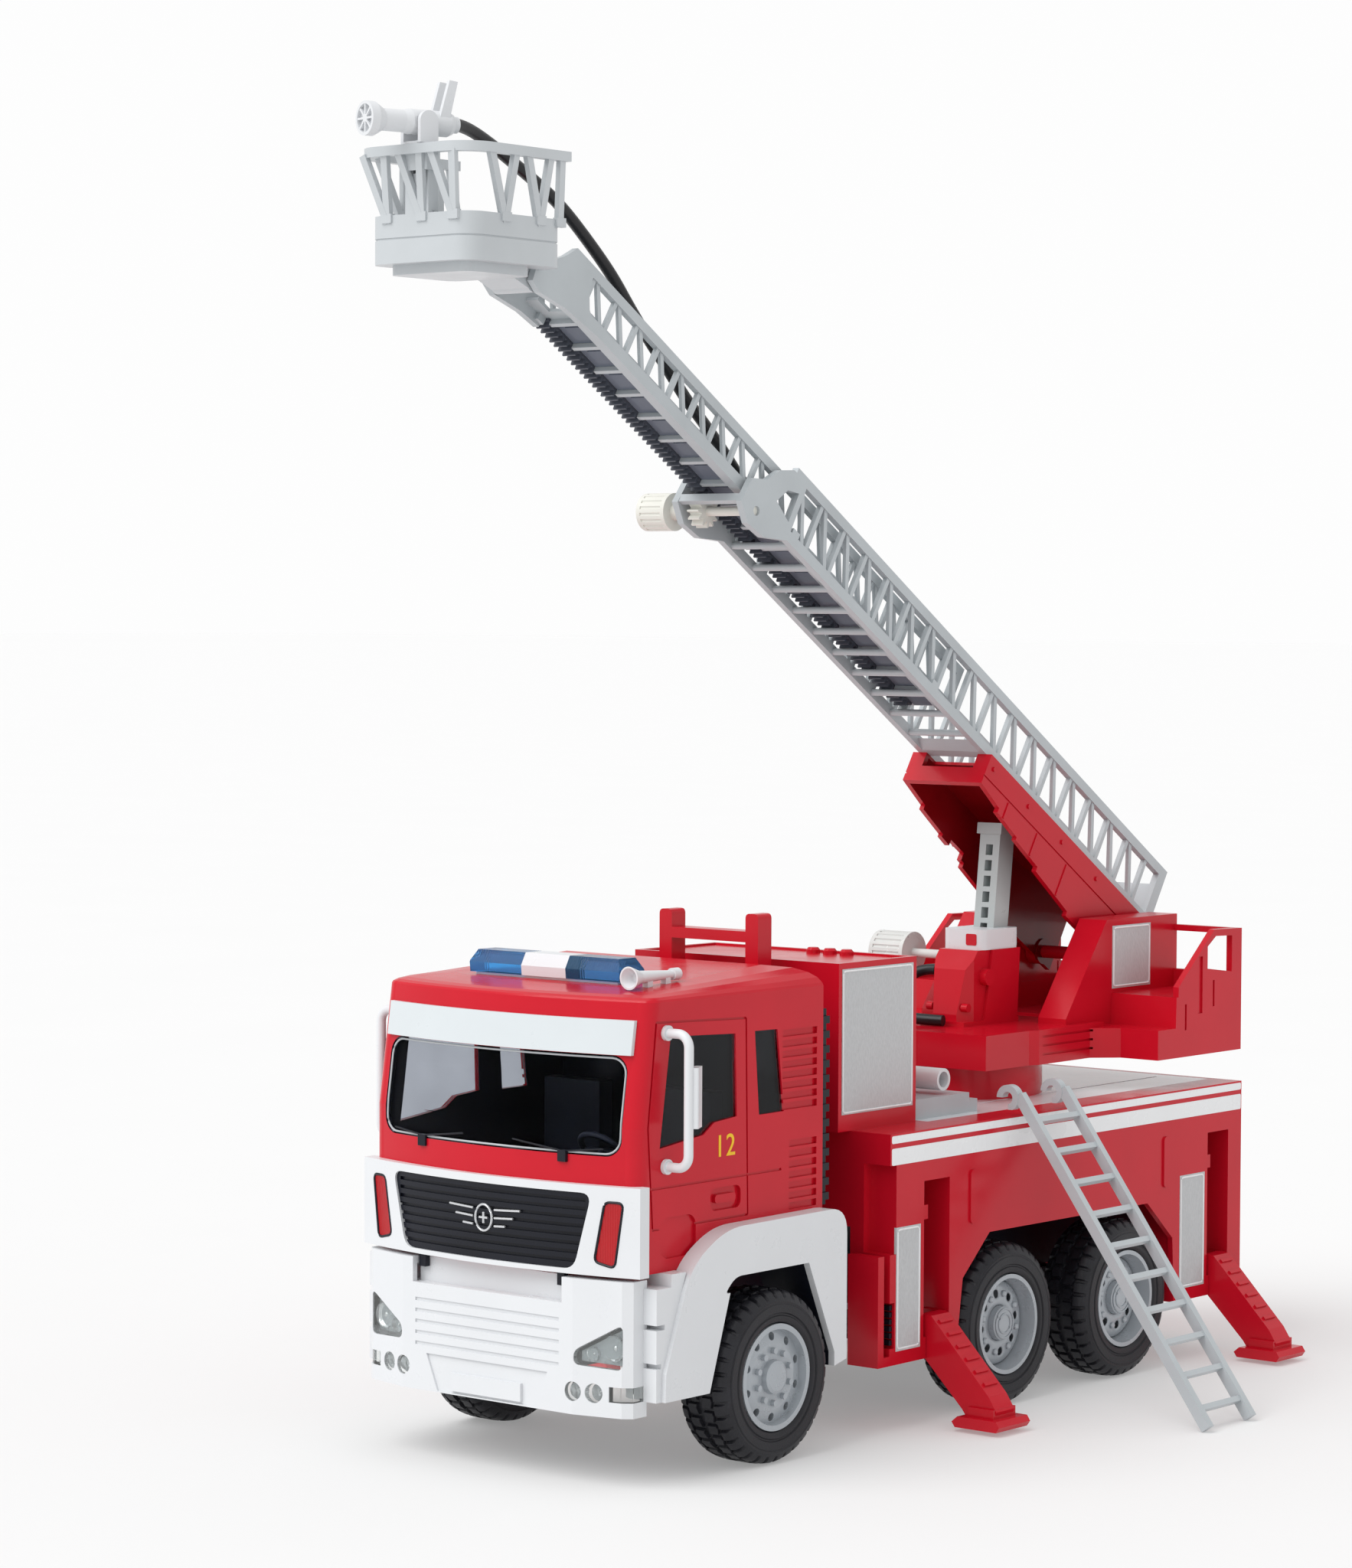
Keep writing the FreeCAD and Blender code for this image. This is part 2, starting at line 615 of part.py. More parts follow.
def push_button(x, y):
    """A domed button with a flange below the box's top that keeps it in."""
    stem = rod((x, y, BOX_TOP - 8), (x, y, BOX_TOP + 0.6), BUTTON_R)
    crown = cone((x, y, BOX_TOP + 0.6), (x, y, BOX_TOP + 1.6), BUTTON_R, BUTTON_R - 0.9)
    flange = rod((x, y, BOX_TOP - 8), (x, y, BOX_TOP - 6), BUTTON_R + 1.5)
    return fuse(stem, crown, flange)


def locker_panels():
    """The light grey panels set in the red sides of the box and the body."""
    panels = [box((BOX_HALF - 0.8, BOX_HALF + 0.2), (BOX_FRONT + 2.2, BOX_REAR - 2.4), (131, 191.5))]
    panels += [box((BODY_HALF - 1.0, BODY_HALF + 0.1), locker, LOCKER_Z) for locker in LOCKERS]
    return together(both(*panels))


def deck_plate():
    plate = box((-RIM_LEDGE, RIM_LEDGE), (BOX_REAR + 2, BODY_REAR - 4.5), (DECK_Z - 3, DECK_Z))
    grooves = both(box((36.5, 37.7), (250, BODY_REAR - 12), (DECK_Z - 0.8, DECK_Z + 1)))
    return cut(plate, *grooves)


def plinth():
    block = box((-53.5, 53.5), (BOX_REAR, 246), (DECK_Z, 132.6))
    hollow = box((-51, 51), (BOX_REAR + 2.5, 243.5), (DECK_Z - 1, 130))
    step = box((-60, 60), (240, 250), (129.5, 140))
    return cut(block, hollow, step)


OUTLET_Y = 226.0
OUTLET_Z = 139.0
OUTLET_BORE_R = 3.4
OUTLET_BORE_DEPTH = 20.0


def outlet_pipe():
    pipe = rod((-50, OUTLET_Y, OUTLET_Z), (50, OUTLET_Y, OUTLET_Z), 4.8)
    collars = both(rod((20, OUTLET_Y, OUTLET_Z), (26, OUTLET_Y, OUTLET_Z), 6.0))
    saddles = both(box((20, 26), (OUTLET_Y - 5, OUTLET_Y + 5), (132.6, OUTLET_Z)))
    bores = both(rod((50 - OUTLET_BORE_DEPTH, OUTLET_Y, OUTLET_Z), (51, OUTLET_Y, OUTLET_Z), OUTLET_BORE_R))
    return cut(fuse(pipe, *collars, *saddles), *bores)


PEDESTAL_R = 38.5
SPIGOT_R = 34.0


def pedestal():
    y = AXIS_FROM_FRONT
    ring = rod((0, y, DECK_Z), (0, y, PLATFORM_Z), PEDESTAL_R)
    return cut(ring, rod((0, y, DECK_Z - 1), (0, y, PLATFORM_Z + 1), SPIGOT_R + RUNNING))


# ---- wheels ------------------------------------------------------------------
def turned(profile, y):
    """A profile of (x, radius) points turned round the axle's line."""
    corners = [V(x, y, AXLE_Z + r) for x, r in profile]
    face = Part.Face(Part.makePolygon(corners + corners[:1]))
    return face.revolve(V(0, y, AXLE_Z), V(1, 0, 0), 360)


def tyre(y, outer):
    inner = outer - TYRE_W
    shoulder = 4.0
    profile = [(outer, RIM_R), (outer, TYRE_R - 7), (outer - 1.2, TYRE_R - 3.4),
               (outer - shoulder, TYRE_R - 0.4), (outer - shoulder - 2, TYRE_R),
               (inner + shoulder + 2, TYRE_R), (inner + shoulder, TYRE_R - 0.4),
               (inner + 1.2, TYRE_R - 3.4), (inner, TYRE_R - 7), (inner, RIM_R)]
    return turned(profile, y)


def front_rim(y, outer):
    """A shallow disc with ten slots, ten nuts and a hub cap."""
    inner = outer - TYRE_W
    face = outer - 4.0
    wheel = fuse(
        turned([(inner, 18.6), (inner, RIM_R), (outer - 0.6, RIM_R), (outer - 0.6, 19.2), (face, 18.6)], y),
        turned([(face - 3, 0), (face - 3, 19), (face, 19), (face + 1.2, 13.5), (face + 1.2, 0)], y),
        turned([(inner, 0), (inner, 7), (face, 7), (face, 0)], y),
        turned([(face, 0), (face, 7.2), (face + 3.4, 6.6), (face + 4.0, 5.4), (face + 4.0, 0)], y),
    )
    holes = []
    nuts = []
    for i in range(10):
        angle = 2 * math.pi * (i + 0.5) / 10
        c, s = math.cos(angle), math.sin(angle)
        holes.append(rod((face - 5, y + 16.2 * c, AXLE_Z + 16.2 * s),
                         (face + 5, y + 16.2 * c, AXLE_Z + 16.2 * s), 1.7))
        nuts.append(rod((face, y + 10.5 * c, AXLE_Z + 10.5 * s),
                        (face + 3.0, y + 10.5 * c, AXLE_Z + 10.5 * s), 1.25))
    return fuse(wheel.cut(holes), *nuts)


def rear_rim(y, outer):
    """A deep dish with round holes and a hub drum."""
    inner = outer - TYRE_W
    dish = outer - 12.0
    wheel = fuse(
        turned([(inner, 18.6), (inner, RIM_R), (outer - 0.6, RIM_R), (outer - 0.6, 19.6), (dish, 17.6)], y),
        turned([(dish - 3, 0), (dish - 3, 19), (dish, 19), (dish, 0)], y),
        turned([(inner, 0), (inner, 7), (dish, 7), (dish, 0)], y),
        turned([(dish, 0), (dish, 8.0), (dish + 8.5, 7.2), (dish + 9.2, 6.2), (dish + 9.2, 0)], y),
    )
    holes = []
    for i in range(6):
        angle = 2 * math.pi * (i + 0.5) / 6
        at = (y + 13.2 * math.cos(angle), AXLE_Z + 13.2 * math.sin(angle))
        holes.append(rod((dish - 5, *at), (dish + 5, *at), 2.5))
    return wheel.cut(holes)


def wheel_set(y, outer, rim):
    """Two rims pressed on one axle rod."""
    reach = outer - TYRE_W + 4
    axle = rod((-reach, y, AXLE_Z), (reach, y, AXLE_Z), AXLE_ROD_R)
    return fuse(axle, *both(rim(y, outer)))


# ---- the turntable -----------------------------------------------------------
def platform():
    low = PLATFORM_Z
    plan = [(-43, 267), (43, 267), (43, 300), (45, 305), (45, 356), (-45, 356), (-45, 305), (-43, 300)]
    front = prism("z", plan, low, PLATFORM_TOP)
    profile = [(STATION_FRONT, low), (STATION_FRONT, 152), (369.5, 152), (370, STATION_FLOOR),
               (BODY_REAR, STATION_FLOOR), (BODY_REAR, low)]
    station = prism("x", profile, -STATION_HALF, STATION_HALF)
    throat = fuse(*both(prism("z", [(44, 344), (55, STATION_FRONT), (44, STATION_FRONT + 1)], low, 152)))
    side_line = [(371.6, 160), (371.6, 170.5), (401.2, 195.1), (BODY_REAR, 194.6), (BODY_REAR, 160)]
    side_wall = prism("x", side_line, STATION_HALF - 3, STATION_HALF)
    hole_line = [(395.6, 187.6), (402.5, 192.0), (416.2, 191.6), (416.2, 175), (395.6, 177.5)]
    side_hole = prism("x", hole_line, 60, 90)
    slots = [box((STATION_HALF - 0.8, STATION_HALF + 1), (376.9, 378.4), (150.7, 162.4)),
             box((STATION_HALF - 0.8, STATION_HALF + 1), (388, 391.5), (157.5, 183.4)),
             box((STATION_HALF - 0.8, STATION_HALF + 1), (400.2, 401.6), (160, 172))]
    grooves = [box((44.2, 46), (308, 350), (z, z + 1)) for z in (142.5, 146.5, 150.5)]
    rear_wall = box((-STATION_HALF, STATION_HALF), (BODY_REAR - 3, BODY_REAR), (160, 174))
    rear_rail = both(box((BRACKET_OUT, STATION_HALF), (BODY_REAR - 3, BODY_REAR), (191.8, 194.6)))
    well = box((-BRACKET_IN + 0.4, BRACKET_IN - 0.4), (STATION_FRONT - 1, BODY_REAR - 3),
               (PLATFORM_TOP, 180))
    well_rear = box((-BRACKET_IN + 0.4, BRACKET_IN - 0.4), (BODY_REAR - 4, BODY_REAR + 1), (168, 180))
    under_front = box((-41, 41), (270, 353), (low - 1, PLATFORM_TOP - 3))
    under_station = box((-STATION_HALF + 3, STATION_HALF - 3), (STATION_FRONT + 3, BODY_REAR - 3),
                        (low - 1, 149))
    under_floor = both(box((BRACKET_IN + 2, STATION_HALF - 3), (373, BODY_REAR - 3),
                           (148, STATION_FLOOR - 3)))
    shell = fuse(front, station, throat, rear_wall, *both(side_wall), *rear_rail)
    shell = cut(shell, well, well_rear, under_front, under_station, *under_floor,
                *both(side_hole, *slots, *grooves))
    y = AXIS_FROM_FRONT
    bearing = rod((0, y, low), (0, y, PLATFORM_TOP - 1), PEDESTAL_R)
    spigot = rod((0, y, DECK_Z + 1), (0, y, PLATFORM_TOP - 1), SPIGOT_R)
    bore = rod((0, y, DECK_Z), (0, y, PLATFORM_TOP + 1), SPIGOT_R - 4)
    lid = rod((0, y, PLATFORM_TOP - 3), (0, y, PLATFORM_TOP), SPIGOT_R)
    rod_hole = box((-ROD_WIDTH / 2 - 1, ROD_WIDTH / 2 + 1), (308, 334), (PLATFORM_TOP - 5, PLATFORM_TOP + 1))
    ring = fuse(bearing, spigot).cut(bore)
    return cut(fuse(shell, ring, lid), rod_hole)


def boom_brackets():
    """The two red boxes that hold the boom, with the hinge pin between them."""
    outline = [(333, PLATFORM_TOP), (333, 156.5), (365.5, BRACKET_TOP), (424, BRACKET_TOP), (424, 174),
               (421.5, 174), (421.5, STATION_FLOOR), (370, STATION_FLOOR), (369.5, 152), (356, 152),
               (356, PLATFORM_TOP)]
    block = prism("x", outline, BRACKET_IN, BRACKET_OUT)
    panel = box((BRACKET_OUT - 0.8, BRACKET_OUT + 1), (370, 401.4), (168, 196.6))
    y, z = BOOM_PIVOT
    pin = rod((-BRACKET_IN - 1, y, z), (BRACKET_IN + 1, y, z), HINGE_PIN_R)
    return fuse(cut(block, panel), mirrored(cut(block, panel)), pin)


def bracket_panels():
    return pair(box((BRACKET_OUT - 0.8, BRACKET_OUT + 0.2), (370, 401.4), (168, 196.6)))


TURNTABLE_HOSE = [(-10.6, 304, 178), (-17.5, 304, 178), (-24, 299.4, 174), (-26, 292.5, 165.5),
                  (-21.5, 288, 158), (-10, 286.5, 156.8), (4, 289, 156.8)]


# ---- the boom ----------------------------------------------------------------
def boom_point(s, h):
    """Build-frame (y, z) of a place s along the boom and h above its hinge line."""
    angle = math.radians(BOOM_ANGLE)
    y, z = BOOM_PIVOT
    return (y - s * math.cos(angle) + h * math.sin(angle), z + s * math.sin(angle) + h * math.cos(angle))


def boom_prism(points, start, end):
    return prism("x", [boom_point(s, h) for s, h in points], start, end)


def boom_box(s, h, x):
    return boom_prism([(s[0], h[0]), (s[1], h[0]), (s[1], h[1]), (s[0], h[1])], *x)


def boom_rod(s, h, x0, x1, radius):
    return rod((x0, *boom_point(s, h)), (x1, *boom_point(s, h)), radius)


def boom_bar(a, b, x, width, depth):
    """A bar in the side plane between two boom places."""
    return bar((x, *boom_point(*a)), (x, *boom_point(*b)), width, depth, (1, 0, 0))


def shroud():
    wall = 2.5
    front = SHROUD_FRONT
    side = [(-10, -4.5), (-10, BASE_LOW), (front, BASE_LOW), (front, 12.3), (118, 9.8), (118, 7.6),
            (99, 5.8), (99, 4.4), (77.6, 2.9), (77.6, 0.6), (45.8, -2.2), (45.8, -4.5)]
    block = boom_prism(side, -SHROUD_HALF, SHROUD_HALF)
    inner = SHROUD_HALF - wall
    under = boom_box((-11, front - wall), (-20, BASE_LOW - 1.5), (-inner, inner))
    mouth = boom_box((front - 8, front + 4), (20, 40), (-14, 14))
    flange_line = both(boom_box((0, front + 1), (15.8, 16.6), (SHROUD_HALF - 0.5, SHROUD_HALF + 1)))
    bumps = [boom_rod(s, 22.2, SHROUD_HALF - 1, SHROUD_HALF + 0.7, 1.1) for s in (33.4, 66.8, 98.6, 131)]
    ridges = [boom_box((s - 0.45, s + 0.45), (low, 15.4), (SHROUD_HALF - 0.5, SHROUD_HALF + 0.5))
              for s, low in ((113, 7.6), (86, 4.0), (58, -0.6))]
    bosses = boom_rod(0, 0, inner - 1, BRACKET_IN - 0.3, 6.0)
    pin_room = boom_rod(0, 0, -BRACKET_IN - 5, BRACKET_IN + 5, HINGE_PIN_R + RUNNING)
    knob_shaft_notch = boom_box((80.2, 92), (-10, 6.8), (-SHROUD_HALF - 1, -inner + 1))
    details = both(bosses, *bumps, *ridges)
    return cut(fuse(cut(block, under, mouth, *flange_line), *details), pin_room, knob_shaft_notch)


def truss(posts, low, high, x, member, width):
    """Posts with a diagonal in each bay, between two rail lines."""
    pieces = []
    for s, following in zip(posts, posts[1:] + [None]):
        pieces.append(boom_bar((s, low), (s, high), x, width, member))
        if following is not None:
            pieces.append(boom_bar((s - member, high), (following + member, low), x, width, member * 0.8))
    return pieces


CRANK_SHAFT_R = 2.0
BASE_POSTS = [BASE_FRONT - 4.5 - 18.6 * i for i in range(18)]
BASE_RUNG_PITCH = 16.8
FLY_POSTS = [461.4 - 15.7 * i for i in range(19)]


def base_ladder():
    x_in = BASE_HALF - 3.2
    rails = [boom_box((BASE_REAR, 320), (BASE_LOW, BASE_LOW + 4.6), (x_in, BASE_HALF)),
             boom_box((BASE_REAR, BASE_FRONT), (BASE_HIGH - 4.4, BASE_HIGH), (x_in, BASE_HALF))]
    web = truss(BASE_POSTS, BASE_LOW + 3, BASE_HIGH - 3, (x_in + BASE_HALF) / 2, 2.2, 2.2)
    rear = boom_box((BASE_REAR, BASE_REAR + 6), (BASE_LOW, BASE_HIGH), (x_in, BASE_HALF))
    gusset = boom_prism([(308, BASE_LOW), (309, BASE_HIGH - 2), (320, BASE_HIGH - 2.5), (328, 49), (333, 41),
                         (341.5, 36), (342.5, 24), (334, 18.5), (322, 19.5)], x_in, BASE_HALF)
    window = boom_prism([(311.5, 34), (312, 48), (319, 45), (323, 37)], x_in - 1, BASE_HALF + 1)
    clips = [boom_box((s, s + 5), (BASE_LOW + 4.6, BASE_LOW + 7), (x_in, BASE_HALF)) for s in (302, 183)]
    side = cut(fuse(*rails, *web, rear, gusset, *clips), window)
    rungs = [boom_rod(301.5 - BASE_RUNG_PITCH * i, BASE_LOW + 2, -x_in, x_in, 1.5)
             for i in range(10)]
    end_tie = boom_box((339.5, 342.2), (24.5, 28), (-x_in, x_in))
    rear_plate = boom_box((BASE_REAR, BASE_REAR + 2.5), (BASE_LOW, BASE_HIGH - 8), (-x_in, x_in))
    shaft_room = boom_rod(PINION_S, PINION_H, -30, 30, CRANK_SHAFT_R + RUNNING)
    slope_plate = boom_prism([(SHROUD_FRONT - 3, BASE_LOW), (SHROUD_FRONT + 2, BASE_LOW),
                              (SHROUD_FRONT + 8, BASE_LOW + 2.6), (SHROUD_FRONT + 3, BASE_LOW + 2.6)],
                             -x_in, x_in)
    walls = both(cut(side, shaft_room))
    return together([*walls, *rungs, end_tie, rear_plate, slope_plate])


PINION_X = (-13.0, -7.0)
KNOB_X = (-40.0, -25.0)


def gear_outline(teeth, centre, tooth, outer, root):
    """Straight-flanked teeth round a centre, (s, h) points."""
    points = []
    for i in range(teeth):
        middle = 2 * math.pi * i / teeth
        for radius, width in ((root, tooth * 1.25), (outer, tooth * 0.5)):
            half = width / (2 * radius)
            points.append((radius, middle - half))
        points.append((outer, middle + tooth * 0.5 / (2 * outer)))
        points.append((root, middle + tooth * 1.25 / (2 * root)))
    return [(centre[0] + r * math.cos(a), centre[1] + r * math.sin(a)) for r, a in points]


def crank():
    """Pinion, shaft and ribbed hand knob in one moulding."""
    outline = gear_outline(PINION_TEETH, (PINION_S, PINION_H), 1.5, 6.85, 4.6)
    pinion = boom_prism(outline, *PINION_X)
    shaft = boom_rod(PINION_S, PINION_H, KNOB_X[0] + 1, 17.5, CRANK_SHAFT_R)
    neck = boom_rod(PINION_S, PINION_H, KNOB_X[1] - 0.5, -19.2, 3.6)
    knob = boom_rod(PINION_S, PINION_H, *KNOB_X, 8.0)
    flutes = []
    for i in range(18):
        angle = 2 * math.pi * i / 18
        flutes.append(boom_rod(PINION_S + 8.2 * math.cos(angle), PINION_H + 8.2 * math.sin(angle),
                               KNOB_X[0] + 2, KNOB_X[1] - 2, 0.7))
    return fuse(pinion, shaft, neck, knob.cut(flutes))


RACK_X = (-13.3, -6.5)
RACK_TIP = 31.0
RACK_ROOT = 33.3
RACK_BACK = 35.2


def rack():
    """Toothed strip under the right rail of the fly ladder."""
    pitch = math.pi * GEAR_MODULE
    low = FLY_INNER + 2
    high = 458.0
    tooth = 1.25
    space_phase = PINION_S
    first = math.ceil((low - space_phase) / pitch)
    last = math.floor((high - space_phase) / pitch)
    points = [(low, RACK_BACK), (low, RACK_ROOT)]
    for i in range(first, last):
        centre = space_phase + (i + 0.5) * pitch
        points += [(centre - tooth * 0.62, RACK_ROOT), (centre - tooth * 0.28, RACK_TIP),
                   (centre + tooth * 0.28, RACK_TIP), (centre + tooth * 0.62, RACK_ROOT)]
    points += [(high, RACK_ROOT), (high, RACK_BACK)]
    return boom_prism(points, *RACK_X)


def fly_ladder():
    x_in = FLY_HALF - 3.0
    low_rail = boom_box((FLY_INNER, 462), (FLY_LOW, FLY_LOW + 5), (x_in - 2, FLY_HALF))
    high_rail = boom_box((FLY_INNER, 466), (FLY_HIGH - 4.2, FLY_HIGH), (x_in, FLY_HALF))
    web = truss(FLY_POSTS, FLY_LOW + 3, FLY_HIGH - 3, (x_in + FLY_HALF) / 2, 1.9, 2.0)
    inner_end = boom_box((FLY_INNER, FLY_INNER + 4), (FLY_LOW, FLY_HIGH), (x_in, FLY_HALF))
    tip = boom_prism([(448, FLY_LOW), (458, FLY_LOW + 6), (462, 43), (464, FLY_HIGH), (477, FLY_HIGH),
                      (FLY_OUTER, 47), (493, 33), (492, 27), (486, 25.5), (470, FLY_LOW - 2)], x_in, FLY_HALF)
    side = fuse(low_rail, high_rail, *web, inner_end, tip)
    floor = boom_box((FLY_INNER, 470), (FLY_LOW + 3.2, FLY_LOW + 4.6), (-x_in, x_in))
    rungs = [boom_box((455 - 16.2 * i, 457 - 16.2 * i), (FLY_LOW + 0.8, FLY_LOW + 5), (-x_in, x_in))
             for i in range(18)]
    y, z = BUCKET_PIVOT
    pin = rod((-x_in - 0.5, y, z), (x_in + 0.5, y, z), 2.0)
    rack_room = boom_box((FLY_INNER + 2, 458), (RACK_TIP - 1, RACK_BACK), RACK_X)
    hose_gap = boom_box((462, 500), (FLY_LOW + 3, FLY_LOW + 6), (-4, 4))
    return cut(fuse(side, mirrored(side), floor, *rungs, pin), rack_room, hose_gap)


FLY_HOSE = [(0, 4.5, 513.8), (0, 18.5, 507.2), (0, 32.5, 499.4), (0, 48.5, 487.0), (0, 63.4, 474.2),
            (0, 75.0, 461.2), (0, 86.6, 449.6), (0, 98.8, 438.3), (0, 110.5, 426.5),
            (0, 121.5, 417.8), (0, 134.5, 406.6), (0, 150.5, 391.0), (0, 168.0, 377.0), (0, 186.0, 366.0)]


# ---- the bucket --------------------------------------------------------------
NOZZLE_Y = -50.5
FRONT_STRUTS = [(-15.5, (-25.0, -13.8)), (2.6, (-6.5, 4.5)), (19.0, (10.5, 21.5))]   # foot x, then rail x
SIDE_STRUTS = [(-31.0, (-42.0, -28.0)), (-11.0, (-21.0, -8.0)), (0.5, (-1.5,))]      # foot y, then rail y


def bucket():
    wall = 2.2
    y = (TUB_FRONT, TUB_REAR)
    tub = rounded("z", (-TUB_HALF, TUB_HALF), y, 9, TUB_Z, TUB_TOP)
    bulge = rounded("z", (-TUB_HALF + 6, TUB_HALF - 6), (y[0] + 6, TUB_BACK - 4), 5, 468.2, TUB_Z)
    room = rounded("z", (wall - TUB_HALF, TUB_HALF - wall), (y[0] + wall, TUB_BACK - wall), 7, 475,
                   TUB_TOP + 1)
    yoke_gap = box((-14.3, 14.3), (TUB_BACK, TUB_REAR + 1), (TUB_Z - 1, TUB_TOP + 1))
    line = cut(rounded("z", (-TUB_HALF - 1, TUB_HALF + 1), (y[0] - 1, y[1] + 1), 9, 481.2, 481.9),
               rounded("z", (0.4 - TUB_HALF, TUB_HALF - 0.4), (y[0] + 0.4, y[1] - 0.4), 8.6, 480, 483))
    rail = cut(rounded("z", (-31, 31), (-57, 30), 14, RAIL_Z, RAIL_TOP),
               rounded("z", (-27.2, 27.2), (-53.2, 40), 11, RAIL_Z - 1, RAIL_TOP + 1),
               box((-32, 32), (2.5, 60), (RAIL_Z - 1, RAIL_TOP + 1)))
    foot_z = TUB_TOP - 3
    front = []
    for x, tops in FRONT_STRUTS:
        front.append(box((x - 2.6, x + 2.6), (TUB_FRONT - 0.8, TUB_FRONT + 1.5), (foot_z, TUB_TOP + 0.6)))
        front += [bar((x, TUB_FRONT + 0.8, foot_z), (top, -55.1, RAIL_Z + 1), 3.2, 2.2, (0, 1, 0.3))
                  for top in tops]
    sides = []
    for foot, tops in SIDE_STRUTS:
        sides.append(box((TUB_HALF - 1.5, TUB_HALF + 0.8), (foot - 2.6, foot + 2.6),
                         (foot_z, TUB_TOP + 0.6)))
        sides += [bar((TUB_HALF - 0.8, foot, foot_z), (29.1, top, RAIL_Z + 1), 2.2, 3.2, (0, 1, 0.3))
                  for top in tops]
    support = fuse(box((-7, 7), (-54, -46.5), (RAIL_Z - 6, RAIL_Z + 1)),
                   box((-6, 6), (-52, -46.5), (TUB_TOP - 2, RAIL_Z)))
    pivot_y, pivot_z = BUCKET_PIVOT
    lug = fuse(rod((-9.6, pivot_y, pivot_z), (9.6, pivot_y, pivot_z), 4.5),
               prism("x", [(TUB_BACK - 8, 469), (TUB_BACK - 8, 476), (TUB_BACK + 1, 477), (pivot_y + 3, 471.4),
                           (pivot_y, 463.6), (TUB_BACK - 2, 468.4)], -9.6, 9.6))
    socket = rod((0, NOZZLE_Y, RAIL_Z - 7), (0, NOZZLE_Y, RAIL_TOP + 2), 2.5 + RUNNING)
    pin_room = rod((-20, pivot_y, pivot_z), (20, pivot_y, pivot_z), 2.0 + RUNNING)
    shell = cut(fuse(cut(tub, yoke_gap), bulge, lug), room, line)
    whole = fuse(shell, rail, support, *front, *both(*sides))
    return cut(whole, socket, pin_room, room)


NOZZLE_YAW = 15.5             # the nozzle points this far to the right of straight ahead
NOZZLE_AXIS_Z = 525.3


def nozzle_turned(shape):
    """Turn a piece that was made pointing straight ahead to the nozzle's rest heading."""
    shape = shape.copy()
    shape.rotate(V(0, NOZZLE_Y, 0), V(0, 0, 1), -NOZZLE_YAW)
    return shape


def nozzle_base():
    """Swivel foot with two ears for the barrel."""
    y = NOZZLE_Y
    z = RAIL_TOP
    foot = fuse(rod((0, y, z - 6), (0, y, z + 1), 2.5), rod((0, y, z + 0.1), (0, y, z + 1.0), 6.0))
    ears = both(fuse(box((5.2, 7.2), (y - 4, y + 4), (z + 0.4, NOZZLE_AXIS_Z)),
                     rod((5.2, y, NOZZLE_AXIS_Z), (7.2, y, NOZZLE_AXIS_Z), 4.0)))
    cross = box((-7.2, 7.2), (y - 4, y + 4), (z + 0.4, z + 1.2))
    trunnions = both(rod((4.4, y, NOZZLE_AXIS_Z), (7, y, NOZZLE_AXIS_Z), 1.5))
    return nozzle_turned(fuse(foot, cross, *ears, *trunnions))


def nozzle_barrel():
    """Nozzle body with its spoked disc and the two upright handles."""
    y = NOZZLE_Y
    z = NOZZLE_AXIS_Z

    def section(y0, y1, r0, r1):
        return cone((0, y0, z), (0, y1, z), r0, r1)

    body = fuse(section(y + 14, y + 12, 4.0, 4.9), rod((0, y + 12, z), (0, y - 5, z), 4.9),
                section(y - 5, y - 8, 4.9, 4.3), rod((0, y - 8, z), (0, y - 17, z), 4.3),
                section(y - 17, y - 21, 4.3, 6.6), rod((0, y - 21, z), (0, y - 24.5, z), 6.6))
    muzzle = rod((0, y - 25, z), (0, y - 23, z), 5.4)
    body = body.cut(muzzle)
    spokes = []
    for i in range(8):
        angle = 2 * math.pi * i / 8
        tip = (5.8 * math.cos(angle), y - 23.6, z + 5.8 * math.sin(angle))
        spokes.append(bar((0, y - 23.6, z), tip, 0.8, 1.4, (0, 1, 0)))
    hub = rod((0, y - 24.3, z), (0, y - 22, z), 1.5)
    handle_line = [(y + 6, z), (y + 10.5, z), (y + 14.5, z + 16), (y + 10.8, z + 16.4)]
    handles = both(prism("x", handle_line, 2.6, 4.4))
    room = both(rod((4.35, y, z), (8, y, z), 1.5 + RUNNING))
    flats = both(box((4.6, 8), (y - 5, y + 5), (z - 6, z + 6)))
    tail = rod((0, y + 13, z), (0, y + 16.5, z), 3.2)
    return nozzle_turned(cut(fuse(body, hub, tail, *spokes, *handles), *room, *flats))


# ---- the lift unit -----------------------------------------------------------
def rod_line(z):
    """y of the lift rod's middle line at a height."""
    return ROD_TOP[0] - (ROD_TOP[1] - z) * math.tan(math.radians(ROD_LEAN))


def rod_block(z0, z1, half_y, half_x):
    """A block round the rod's line, square to it, between two heights on that line."""
    start = V(0, rod_line(z0), z0)
    end = V(0, rod_line(z1), z1)
    return bar(start, end, 2 * half_y, 2 * half_x, (1, 0, 0))


def lift_rod():
    half = ROD_WIDTH / 2
    foot_z = ROD_TOP[1] - ROD_LENGTH * math.cos(math.radians(ROD_LEAN))
    shaft = rod_block(foot_z, ROD_TOP[1], half, half)
    cap = rod_block(ROD_TOP[1] - 5, ROD_TOP[1], half + 1.2, half + 1.2)
    windows = []
    for i in range(9):
        z = ROD_TOP[1] - 11.5 - 7.1 * i
        y = rod_line(z)
        windows.append(box((-1.9, 1.9), (y - 12, y + 1), (z - 2.4, z + 2.4)))
    return cut(fuse(shaft, cap), *windows)


def rod_room():
    half = ROD_WIDTH / 2 + RUNNING
    return rod_block(120, 260, half, half)


